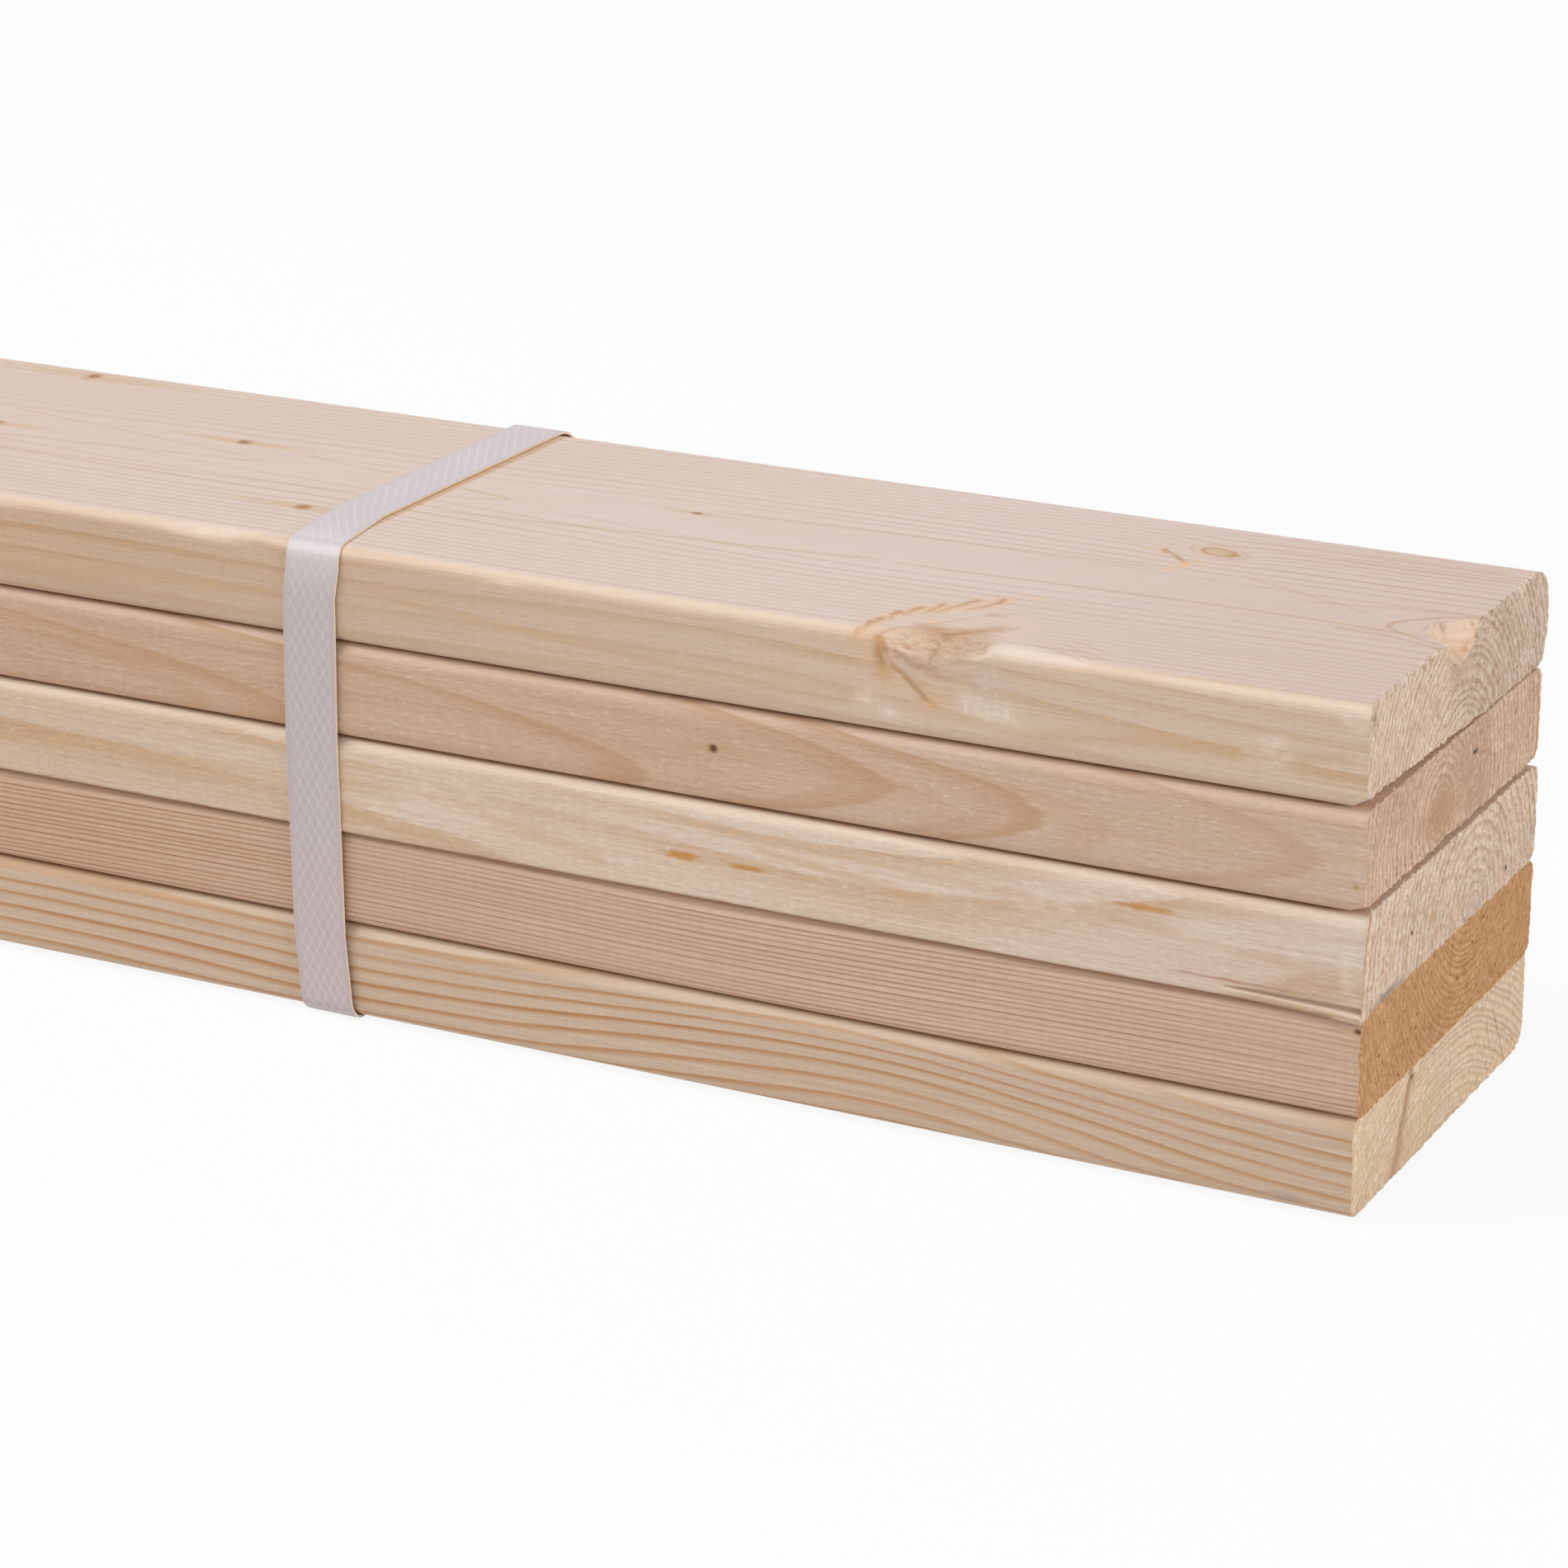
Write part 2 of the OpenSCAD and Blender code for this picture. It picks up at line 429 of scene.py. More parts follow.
def coated(tree, tone):
    # the colour laid on in the mesh's own coat attribute, over the grown wood
    node = addNode(tree, "ShaderNodeAttribute", attribute_name="coat")
    under = scaled(tone, 1.0 - Wire(tree, node.outputs["Alpha"]))
    return vectorMaths(tree, "ADD", under, Wire(tree, node.outputs["Color"]))


def faceWood(name, corner, look, paints):
    # planed faces and edges: soft growth lines, fibre streaks, woolly flecks and knots
    material, tree = newMaterial(name + "_planed")
    seed = look["seed"]
    place = studPlace(tree, corner)
    u, v, w = parts(place)
    ragged = grain(place, (0.4, 0.6, 0.6), 4.0, 2.0) * 1.1
    pins = stackKnots(tree, place, look["pins"], ragged)
    ovals = stackKnots(tree, place, look["ovals"], ragged * 0.4)
    narrow = pointValue(tree, "narrowFace")
    soft = narrow * (look["soft"][1] - look["soft"][0]) + look["soft"][0]
    rings = ringsOf(tree, place, look, look["pith"], look["gap"], soft, pins["Push"] + ovals["Push"])
    early = blend(narrow, look["flat"][0], look["edge"][0])
    late = blend(narrow, look["flat"][1], look["edge"][1])
    cloud = grain(place, (0.009, 0.07, 0.07), seed + 3.0, 2.0)
    comes = ramp(cloud, -0.16, 0.12, look["faint"], 1.0)
    line = rings["Line"] * (rings["Ring"] * (1.0 - look["even"]) + look["even"]) * comes
    if "heart" in look:
        # few rings come out over the pith
        line = line * (1.0 - falloff((v - look["heart"]) / 13.0) * (1.0 - narrow))
    tone = blend(line, early, late)
    streak = grain(place, (0.02, 1.3, 1.3), seed + 1.0, 4.0, 0.62)
    fleck = grain(place, (0.5, 1.6, 1.6), seed + 2.0, 3.0, 0.6)
    tone = blend(ramp(cloud, 0.2, -0.2) * look["cloud"], tone, look["warm"])
    wool = narrow * (look["wool"][1] - look["wool"][0]) + look["wool"][0]
    sawTorn = ramp(u, -16.0, -1.0) * narrow * 0.5  # fibres raised by the saw near the right end
    chatter = maths(tree, "SINE", u * 2.7) * 0.01  # marks of the planer's knives
    tone = warmed(tone, streak * (sawTorn + look["streak"]) + fleck * wool + chatter)
    tone = blend(ramp(fleck, 0.1, 0.22) * wool, tone, look["fibre"])
    # darker and yellower towards the left, more on the front and back
    leftwardTint = ramp(u, -60.0, -400.0) * (narrow * 0.7 + 0.3) * look["yellow"]
    tone = tinted(tone, leftwardTint, (0.885, 0.82, 0.735))
    # painted highlight on the upper eased edges
    tone = blend(pointValue(tree, "roundedEdge") * look["edgeHighlight"], tone, look["edgeHighlightTone"])
    tone = blend(ramp(pins["Tail"], 1.6, 0.3) * 0.55, tone, look["resin"])
    tone = blend(ramp(pins["Nearest"], 1.3, 0.75) * 0.7, tone, look["bark"])
    tone = blend(ramp(pins["Nearest"], 0.8, 0.4), tone, look["knot"])
    tone = blend(ramp(ovals["Nearest"], 1.1, 0.8) * 0.5, tone, look["resin"])
    tone = blend(falloff((ovals["Nearest"] - 1.0) * 7.0) * 0.7, tone, look["bark"])
    for paint in paints:
        tone = paint(tree, place, tone)
    for touching, level in zip(look["contact"], (ramp(w, 0.8, 0.1), ramp(w, 19.6, 19.95))):
        if touching:
            tone = tinted(tone, level * ramp(u, -4.0, -9.0) * 0.6, (0.55, 0.40, 0.27))  # painted shade in the seams between studs
    if look["coats"]:
        tone = coated(tree, tone)
    height = streak + fleck * wool * 3.0
    rough = fleck * 0.3 + 0.56
    inputs = {"Base Color": tone, "Roughness": rough, "Specular IOR Level": 0.3}
    finishMaterial(tree, inputs, height, bumpDepth["planed"])
    return material


def endWood(name, corner, look, paints):
    # sawn ends: the same rings cut across, with upright brush lines, crumbs and torn lint
    material, tree = newMaterial(name + "_sawn")
    seed = look["seed"]
    place = studPlace(tree, corner)
    u, v, w = parts(place)
    early, late = look["end"]
    brush = grain(place, (0.4, 1.0, 0.4), seed + 5.0, 3.0, 0.65)
    crumb = grain(place, (0.5, 0.85, 0.75), seed + 6.0, 4.0, 0.75)
    hole = grain(place, (0.4, 0.45, 0.6), seed + 8.0, 3.0, 0.6)
    cloud = grain(place, (0.05, 0.05, 0.09), seed + 7.0, 2.0)
    crumbly = ramp(v, *crumblyZone, *look["crumbly"])
    pith, gap = look.get("endPith", look["pith"]), look.get("endGap", look["gap"])
    rings = ringsOf(tree, place, look, pith, gap, 0.35, crumb * 0.9)
    line = rings["Line"] * (rings["Ring"] * 0.5 + 0.5)
    tone = blend(line * look["endLine"], early, late)
    tone = blend(ramp(cloud, -0.12, 0.15) * look["cloud"] * 1.6, tone, look["endWarm"])
    tone = warmed(tone, brush * 0.8 + crumb * crumbly * 1.3)
    tone = blend(ramp(crumb, -0.08, -0.18) * 0.6, tone, late)
    lint = ramp(crumb, 0.05, 0.14) * ramp(brush, -0.12, 0.08)
    tone = blend(lint * crumbly * look["lint"], tone, look["fibre"])
    pit = ramp(hole, -0.1, -0.15) * ramp(crumb, 0.03, -0.05)
    tone = blend(pit * look["pits"], tone, look["pit"])
    for paint in paints:
        tone = paint(tree, place, tone)
    if look["coats"]:
        tone = coated(tree, tone)
    height = brush * 0.6 + crumb * crumbly * 1.4 + line * 0.3
    inputs = {"Base Color": tone, "Roughness": 0.85, "Specular IOR Level": 0.2}
    finishMaterial(tree, inputs, height, bumpDepth["sawn"])
    return material


def veinColour(veins, colour, onTop):
    # single soft lines along the top face or along the front
    def paint(tree, place, tone):
        u, v, w = parts(place)
        side, cover = (v, ramp(w, 18.0, 19.5)) if onTop else (w, ramp(v, 4.0, 1.5))
        for startU, start, endU, end, swing, width, strength, *pace in veins:
            share = (u - startU) / (endU - startU)
            sway = maths(tree, "SINE", u * (pace[0] if pace else 0.045) + start) * swing
            line = falloff((side - share * (end - start) - start - sway) / width)
            line = line * ramp(share, 0.0, 0.1) * ramp(share, 1.02, 0.95) * cover
            tone = blend(line * strength, tone, colour)
        return tone

    return paint


# each vein: its start and end, along u and across, then its swing, width, strength and the swing's pace
topVeins = [
    (-216.0, 29.5, -116.0, 41.0, 0.5, 0.7, 0.55),
    (-118.0, 41.2, -4.0, 42.2, 1.0, 0.6, 0.6),
    (-330.0, 30.0, -232.0, 34.0, 0.7, 0.6, 0.5),
    (-162.0, 55.0, -66.0, 59.5, 0.8, 0.55, 0.5, 0.03),
    (-338.0, 58.0, -262.0, 45.6, 0.6, 0.6, 0.45),
    (-338.0, 38.0, -262.0, 44.6, 0.6, 0.7, 0.5),
    (-258.0, 53.5, -232.0, 50.0, 0.3, 0.5, 0.5),
    (-216.0, 47.0, -202.0, 44.4, 0.2, 0.7, 0.6),
    (-216.0, 40.0, -202.0, 43.6, 0.2, 0.6, 0.5),
    (-56.0, 80.0, 0.0, 82.0, 0.6, 0.6, 0.45),
    (-58.0, 84.7, -4.0, 86.0, 0.5, 0.5, 0.4),
    (-52.0, 77.0, -2.0, 78.5, 0.5, 0.5, 0.35),
    (-50.0, 63.0, -20.0, 51.5, 0.5, 0.8, 0.35),
    (-36.0, 52.0, -2.0, 58.0, 0.6, 0.6, 0.45),
]
edgeVeins = {
    "stud_3": [
        (-330.0, 7.0, -230.0, 9.6, 0.8, 0.9, 0.4),
        (-222.0, 10.8, -186.0, 10.6, 0.2, 1.2, 0.35),
        (-191.0, 10.8, -156.0, 4.2, 0.2, 1.4, 0.4),
        (-152.0, 17.0, -8.0, 8.6, 0.6, 1.0, 0.35),
        (-126.0, 12.6, -86.0, 8.0, 0.3, 1.0, 0.5),
    ],
    "stud_5": [
        (-214.0, 11.2, -100.0, 5.0, 0.4, 0.9, 0.5),
        (-330.0, 5.4, -228.0, 8.2, 0.5, 0.9, 0.5),
        (-68.0, 4.0, -2.0, 9.8, 0.4, 1.1, 0.5),
    ],
}


def stain(at, half, strength=0.6, colour=None):
    # a patch with its middle and half lengths along u, v and w
    return {"at": at, "half": half, "strength": strength, "colour": colour}


def farFrom(place, mark):
    # distance from a stain's middle in its own half lengths
    away = vectorMaths(place.tree, "SUBTRACT", place, mark["at"])
    away = vectorMaths(place.tree, "DIVIDE", away, mark["half"])
    node = addNode(place.tree, "ShaderNodeVectorMath", {0: away}, operation="LENGTH")
    return Wire(place.tree, node.outputs["Value"])


def resinColour(colour, *stains):
    # small resin pockets, dark spots and dirt
    def paint(tree, place, tone):
        ragged = grain(place, (0.3, 0.9, 0.9), 33.0, 3.0) * 1.6
        for mark in stains:
            cover = ramp(farFrom(place, mark) + ragged, 1.2, 0.3)
            tone = blend(cover * mark["strength"], tone, mark["colour"] or colour)
        return tone

    return paint


def fleeceColour(*stains):
    # patches where the planer lifted white fibres
    def paint(tree, place, tone):
        ragged = grain(place, (0.1, 0.25, 0.25), 36.0, 2.0) * 1.8
        tuft = grain(place, (0.3, 0.5, 0.6), 37.0, 4.0, 0.7)
        for mark in stains:
            cover = ramp(farFrom(place, mark) + ragged, 1.3, 0.4)
            tone = blend(cover * ramp(tuft, -0.25, 0.25) * mark["strength"], tone, (0.92, 0.79, 0.66))
        return tone

    return paint


def figureColour(*tips):
    # growth lines cut lengthwise: tongues on the front, each with its tip in u and w, width and strength
    def paint(tree, place, tone):
        u, v, w = parts(place)
        waver = grain(place, (0.05, 0.3, 0.3), 38.0, 4.0, 0.6) * 9.0
        for tipU, tipW, wide, strength in tips:
            up = w - tipW
            past = u - tipU + up * up * 0.38 + waver
            line = ramp(past, 2.0, -1.0) * ramp(past, -wide * 1.4, -1.0) * ramp(v, 4.0, 1.5)
            tone = blend(line * strength, tone, (0.58, 0.345, 0.195))
        return tone

    return paint


def farEndColour(onTop, colour):
    # the top or the front gets browner towards its right end
    def paint(tree, place, tone):
        u, v, w = parts(place)
        cover = ramp(w, 19.0, 19.8) if onTop else ramp(v, 4.0, 1.5)
        return tinted(tone, ramp(u, -130.0, -5.0) * cover, colour)

    return paint


def bandShadowPaint(tree, place, tone):
    # painted shadow of the band on the wood beside it
    u, v, w = parts(place)
    right = u + 218.4 - ramp(v, 24.0, 98.0, 0.0, 0.65)
    mark = ramp(right, 2.6, 1.8) * ramp(right, -1.0, 0.0) * ramp(w, 19.0, 19.8) * ramp(v, 8.0, 24.0)
    return tinted(tone, mark, (0.84, 0.67, 0.48))


def crackColour(tree, place, tone):
    # heart crack and a bark seam across the end of the bottom stud
    u, v, w = parts(place)
    bend = grain(place, (0.1, 0.25, 0.2), 41.0, 2.0) * 1.8
    off = (v - 22.8 - w * 0.41 + bend) / ramp(w, 0.0, 20.0, 2.6, 1.2)
    tone = blend(falloff(off) * 0.85, tone, (0.68, 0.42, 0.255))
    tone = blend(falloff((off + 0.6) * 2.5) * ramp(w, 2.0, 12.0, 0.2, 0.7), tone, (0.47, 0.27, 0.14))
    tone = blend(falloff((v - 30.4) / 0.7) * falloff((w - 17.4) / 0.5), tone, (0.22, 0.10, 0.05))
    seam = falloff((v - 84.6 + w * 0.58 + bend * 0.5) / 0.5) * ramp(w, 17.0, 13.0)
    return blend(seam * 0.6, tone, (0.60, 0.40, 0.23))


# Colour laid on the mesh points, over the grown wood

woodTones = {
    "fold": (0.50, 0.27, 0.12),
    "rust": (0.55, 0.32, 0.18),
    "orange": (0.80, 0.51, 0.29),
    "dark": (0.36, 0.20, 0.09),
    "tan": (0.63, 0.44, 0.30),
    "sand": (0.77, 0.56, 0.38),
    "pale": (0.88, 0.715, 0.54),
    "white": (0.94, 0.81, 0.69),
    "lilac": (0.69, 0.53, 0.44),
    "peach": (0.86, 0.67, 0.52),
    "rose": (0.74, 0.56, 0.44),
}


def lay(coat, amount, tone):
    # one more coat of a tone over what is there, kept multiplied with its cover
    amount = np.clip(amount, 0.0, 1.0)[:, None]
    coat *= 1.0 - amount
    coat += amount * np.array((*woodTones[tone], 1.0))


def bell(*offsets):
    return np.exp(-sum(offset**2 for offset in offsets))


def alongPath(path, a, b):
    # each point's distance from a drawn line, and the share of the line passed there
    path = np.array(path, float)
    lengths = np.hypot(*np.diff(path, axis=0).T)
    best, share, passed = np.full(len(a), 1e9), np.zeros(len(a)), 0.0
    for start, end, length in zip(path, path[1:], lengths):
        run = (end - start) / length
        along = np.clip((a - start[0]) * run[0] + (b - start[1]) * run[1], 0.0, length)
        far = np.hypot(a - start[0] - along * run[0], b - start[1] - along * run[1])
        share = np.where(far < best, (passed + along) / lengths.sum(), share)
        best = np.minimum(best, far)
        passed += length
    return best, share


def stroke(tone, wide, strength, *path, taper=0.4, fade=0.5):
    # a drawn line, which thins out and fades to its end by these shares
    return {"tone": tone, "wide": wide, "strength": strength, "path": path, "taper": taper, "fade": fade}


def drawLines(coat, lines, a, b):
    for line in lines:
        far, share = alongPath(line["path"], a, b)
        wide = line["wide"] * (1.0 - line["taper"] * share)
        fade = 1.0 - line["fade"] * share
        lay(coat, line["strength"] * fade * np.exp(-((far / wide) ** 2)), line["tone"])


# Damage: each place is a move of the lattice points and a coat of colour

brokenKnot = {
    "middle": (1.0, 48.0),  # of the bowl, along u and v
    "mouth": 8.5,
    "bowl": 6.0,
    "frontEdge": ((-7.6, 45.0), (0.9, 38.8)),  # the bowl stops at this straight edge
    "core": ((47.5, 14.5), (45.5, 8.5)),  # smooth channel down the end, from and to, in v and w
    "coreHalf": (5.2, 2.0),
    "coreDepth": 1.1,
    "reachDown": 14.0,  # depth of end grain that gives way under the bowl
    "lines": [
        stroke(
            "rust", 0.5, 0.7,
            (0.2, 57.4), (-1.5, 57.5), (-6.2, 55.1), (-10.5, 51.4), (-13.7, 47.8), (-13.9, 45.2),
            fade=-0.3, taper=0.0,
        ),
        stroke(
            "rust", 0.5, 0.7,
            (-13.9, 45.2), (-12.8, 43.8), (-9.2, 41.8), (-4.6, 39.8), (-0.2, 38.2),
            fade=0.2, taper=0.0,
        ),
        stroke(
            "rust", 0.5, 0.6,
            (-22.0, 40.0), (-11.8, 39.5), (-3.7, 37.4), (0.0, 36.4),
            fade=0.0, taper=0.0,
        ),
        stroke("orange", 0.5, 0.4, (-22.0, 42.9), (-16.3, 44.0)),
    ],
}


def bowlDepth(at):
    cut = brokenKnot
    u, v, w = at.T
    radius = (cut["mouth"] ** 2 + cut["bowl"] ** 2) / (2.0 * cut["bowl"])
    far = np.hypot(u - cut["middle"][0], v - cut["middle"][1]) + 0.35 * roughness(at, (2.0, 2.0, 50.0), 2)
    depth = np.sqrt(np.maximum(radius**2 - far**2, 0.0)) - radius + cut["bowl"]
    (startU, startV), (endU, endV) = cut["frontEdge"]
    behind = v - startV - (u - startU) * (endV - startV) / (endU - startU)
    behind += 0.3 * roughness(at, (1.3, 50.0, 50.0), 4)
    return np.clip(np.minimum(depth, behind * 2.6), 0.0, None)


def coreProfile(at):
    # 1 in the middle of the channel that the knot's core left in the end face
    (startV, startW), (endV, endW) = brokenKnot["core"]
    u, v, w = at.T
    share = np.clip((startW + 3.0 - w) / (startW + 3.0 - endW), 0.0, 1.3)
    middle = startV + (endV - startV) * share
    half = brokenKnot["coreHalf"][0] * (1.0 - share) + brokenKnot["coreHalf"][1] * share
    return bell((v - middle) / half) * np.clip(1.3 - share, 0.0, 0.5) * 2.0


def cutBrokenKnot(spot, at, size):
    cut = brokenKnot
    depth = bowlDepth(at)
    depth += np.where(depth > 0.6, 0.2 * roughness(at, (1.6, 1.2, 50.0), 3), 0.0)
    share = np.clip((at[:, 2] - size[2] + cut["reachDown"]) / cut["reachDown"], 0.0, 1.0)
    spot[:, 2] -= depth * share
    atEnd = np.clip(1.0 + at[:, 0] / 1.2, 0.0, 1.0) * (at[:, 2] < size[2] - 0.1)
    spot[:, 0] -= cut["coreDepth"] * coreProfile(spot) * atEnd


def coatBrokenKnot(coat, spot, at, size):
    u, v, w = at.T
    onTop = (w > size[2] - 0.1) & (u > -30.0)
    drawing = np.zeros((len(at), 4))
    wobble = 0.3 * roughness(at, (2.5, 1.2, 50.0), 6)
    lay(drawing, 0.35 * bell((u + 3.0) / 9.0, (v - 47.5) / 6.0), "rose")
    drawLines(drawing, brokenKnot["lines"], u, v + wobble)
    depth = bowlDepth(at)
    inside = np.clip(depth / 0.35, 0.0, 1.0)
    lay(drawing, inside, "peach")
    arcs = 0.5 + 0.5 * np.sin(depth * 4.2 + 1.2 * roughness(at, (3.0, 2.0, 50.0), 7))
    lay(drawing, inside * 0.8 * arcs**2 * np.clip(depth / 3.0, 0.15, 1.0), "orange")
    low = np.clip((depth - 3.0) / 2.0, 0.0, 1.0)
    lay(drawing, 0.6 * low, "tan")
    lay(drawing, inside * 1.2 * np.clip(roughness(at, (1.2, 1.0, 50.0), 8) - 0.15, 0.0, 0.9), "rust")
    lay(drawing, inside * 0.8 * np.clip(roughness(at, (1.4, 0.8, 50.0), 10) - 0.3, 0.0, 1.0), "white")
    ledge = inside * bell((u + 6.0) / 1.8, (v - 45.0) / 2.5)
    lay(drawing, ledge * np.clip(0.5 + roughness(at, (0.9, 0.7, 50.0), 9), 0.0, 1.0), "white")
    coat[onTop] = drawing[onTop]
    atEnd = (u > -0.01) & (w < size[2] - 0.1)
    channel = np.zeros((len(at), 4))
    smooth = bell((v - 47.0) / 6.5, (spot[:, 2] - 12.5) / 4.0)
    lay(channel, np.clip(1.3 * smooth - 0.15, 0.0, 0.9), "rose")
    lay(channel, 0.45 * bell((v - 47.5) / 2.5, (spot[:, 2] - 12.0) / 3.5), "tan")
    lay(channel, 0.8 * bell((v - 2.5) / 1.2, (w - 17.0) / 1.6), "dark")
    coat[atEnd] = channel[atEnd]


tornKnot = {
    "fromEnd": 86.0,
    "length": 34.0,
    "depth": 2.8,  # below the sharp corner that the planed edge once had
    # growth lines that turn back at the scar, from their tips: along the stud, and over the edge to the top
    "hooks": [
        [(-14.6, 4.7), (-14.4, 1.9), (-14.6, 0.5)],
        [(-13.9, 7.3), (-13.5, 3.5)],
        [(-12.5, 12.2), (-13.1, 10.5), (-12.2, 7.6)],
        [(-10.0, 16.1), (-10.7, 14.3), (-11.0, 11.0)],
        [(-7.2, 19.8), (-7.4, 17.7), (-8.0, 13.7)],
        [(-2.4, 25.1), (-3.2, 23.6), (-4.5, 19.7), (-6.0, 15.1)],
        [(1.6, 27.8), (1.8, 25.5), (0.5, 22.2), (-2.1, 19.0)],
    ],
    "lines": [
        stroke("orange", 1.3, 0.8, (-15.3, 0.7), (-15.2, -1.9), (-14.2, -3.7), (-12.7, -5.8)),
        # painted shadow at the left of the orange fold above
        stroke("rust", 0.5, 0.5, (-15.8, 0.5), (-15.7, -2.0)),
        stroke("orange", 1.7, 0.5, (-11.0, -0.8), (-10.4, -4.7), (-9.2, -7.7), taper=0.0),
        stroke("fold", 1.0, 0.95, (-11.2, -1.3), (-10.7, -4.7), (-9.6, -7.9), fade=0.1, taper=-0.3),
        stroke("rust", 0.6, 0.7, (-9.7, -7.9), (-11.9, -8.8)),
        stroke("orange", 1.4, 0.7, (-9.6, -8.0), (-7.1, -10.2)),
        stroke(
            "orange", 1.3, 0.55,
            (-10.3, -1.6), (-7.4, -6.3), (-4.0, -8.9), (-1.4, -11.2), (1.2, -12.4),
            fade=0.2, taper=0.0,
        ),
        stroke(
            "fold", 0.65, 0.9,
            (-10.3, -2.0), (-7.6, -6.6), (-4.3, -9.2), (-1.8, -11.5), (0.6, -12.9),
            fade=0.2, taper=0.0,
        ),
        stroke("orange", 1.3, 0.55, (0.2, -12.6), (4.3, -12.7)),
        stroke("rust", 0.5, 0.5, (-9.0, -3.2), (-6.4, -5.9), (-1.0, -9.1), (4.6, -9.2)),
        stroke("rust", 0.4, 0.4, (-8.3, -3.0), (-4.8, -5.2), (0.0, -7.4), (5.5, -7.6)),
        stroke("rust", 0.4, 0.35, (-5.0, -8.0), (-0.8, -10.4), (3.0, -11.0), (6.0, -10.6)),
        stroke(
            "rust", 0.5, 0.6,
            (-11.0, 0.6), (-9.0, 2.6), (-4.7, 7.0), (-0.3, 12.5), (4.4, 18.2), (11.0, 23.0),
            fade=0.6,
        ),
        stroke("orange", 0.55, 0.7, (3.8, 31.8), (6.8, 31.2), (14.0, 30.9)),
        stroke("rust", 0.4, 0.45, (19.2, 4.9), (23.9, 3.9), (29.5, 1.2), fade=0.0),
        stroke("rust", 0.4, 0.4, (20.4, 6.6), (25.8, 4.8), (31.5, 2.2), fade=0.0),
        stroke("rust", 0.4, 0.45, (21.9, 8.3), (27.6, 5.7), (33.5, 3.2), fade=0.0),
        stroke("rust", 0.4, 0.45, (23.9, 10.6), (30.0, 7.7), (34.0, 6.0), fade=0.0),
        stroke("orange", 0.6, 0.45, (21.0, -3.9), (25.6, -2.6), (32.0, -0.9), fade=0.6),
    ],
    # stains round the scar, each with its strength, middle and half lengths
    "tints": [
        ("rose", 0.75, -1.0, 8.0, 10.0, 10.0),
        ("rose", 0.65, 8.5, 12.0, 8.0, 8.0),
        ("sand", 0.7, -0.5, -9.0, 6.0, 3.6),
        ("sand", 0.5, -12.5, -3.5, 2.2, 4.0),
    ],
    # white patches below the scar, each with its middle and half lengths
    "fraying": [
        (-13.3, -13.4, 2.2, 1.6),
        (-8.3, -15.6, 2.4, 1.4),
        (13.5, -12.6, 4.4, 2.4),
        (7.5, -11.4, 2.0, 2.0),
    ],
    "flow": [
        stroke("peach", 0.8, 0.6, (-8.6, -4.4), (-4.6, -7.0), (1.0, -8.8), (7.0, -8.2)),
        stroke("rust", 0.5, 0.6, (-7.6, -3.6), (-3.6, -5.6), (2.0, -7.0), (8.0, -6.4)),
        stroke("peach", 0.8, 0.5, (-6.4, -2.8), (-2.6, -4.2), (3.0, -5.2), (9.0, -4.2)),
    ],
    "streaks": [
        stroke("rust", 2.6, 0.8, (-3.4, 5.4), (1.1, 3.8), (4.2, 6.4), (8.4, 11.4), fade=0.1),
        stroke("fold", 1.3, 0.85, (-1.8, 5.2), (1.1, 3.4), (3.6, 5.4), (6.4, 8.4), fade=0.1),
        stroke("dark", 0.6, 0.7, (0.8, 3.8), (4.2, 5.6), fade=0.3),
        stroke("rust", 1.0, 0.7, (4.0, 18.0), (6.4, 18.5)),
        stroke("rust", 1.0, 0.65, (9.4, 9.6), (11.4, 13.0)),
        stroke("orange", 1.2, 0.4, (-5.6, 9.6), (-1.0, 10.4)),
        stroke("fold", 0.6, 0.6, (0.2, -1.6), (0.0, -4.4), fade=0.4),
        stroke("tan", 1.6, 0.5, (2.0, -2.2), (4.6, -3.6)),
    ],
}


def tornChart(at, size):
    # millimetres along the stud from the scar's middle, and over its front upper edge with the top as plus
    along = at[:, 0] + tornKnot["fromEnd"] + 0.25 * roughness(at, (1.4, 1.0, 1.0), 15)
    over = at[:, 1] + at[:, 2] - size[2] + 0.25 * roughness(at, (1.8, 1.0, 1.0), 16)
    seen = (at[:, 1] < 0.05) | (at[:, 2] > size[2] - 0.05)
    return along, over, seen


def cutTornKnot(spot, at, size):
    # the knot's hollow is part of a sphere, with torn fibres on it
    cut = tornKnot
    radius = ((cut["length"] / 2.0) ** 2 + cut["depth"] ** 2) / (2.0 * cut["depth"])
    out = (radius - cut["depth"]) / math.sqrt(2.0)
    centre = np.array((-cut["fromEnd"], -out, size[2] + out))
    away = spot - centre
    far = np.linalg.norm(away, axis=1)
    inside = far < radius
    along, over, seen = tornChart(at, size)
    wool = bell((along - 1.5) / 9.0, over / 7.0)
    rough = 0.25 * roughness(at, (1.6, 0.9, 0.9), 5) + 0.25 * roughness(at, (0.8, 0.6, 0.6), 6)
    target = radius + rough * wool * np.clip((radius - far) / 0.5, 0.0, 1.0)
    spot[inside] = (centre + away * (target / np.maximum(far, 1e-6))[:, None])[inside]
    for line in cut["lines"]:
        if line["tone"] == "fold":
            reach, share = alongPath(line["path"], along, over)
            crease = 0.35 * seen * np.exp(-((reach / 0.7) ** 2)) * (1.0 - 0.5 * share)
            spot[:, 1] += 0.7 * crease
            spot[:, 2] -= 0.7 * crease


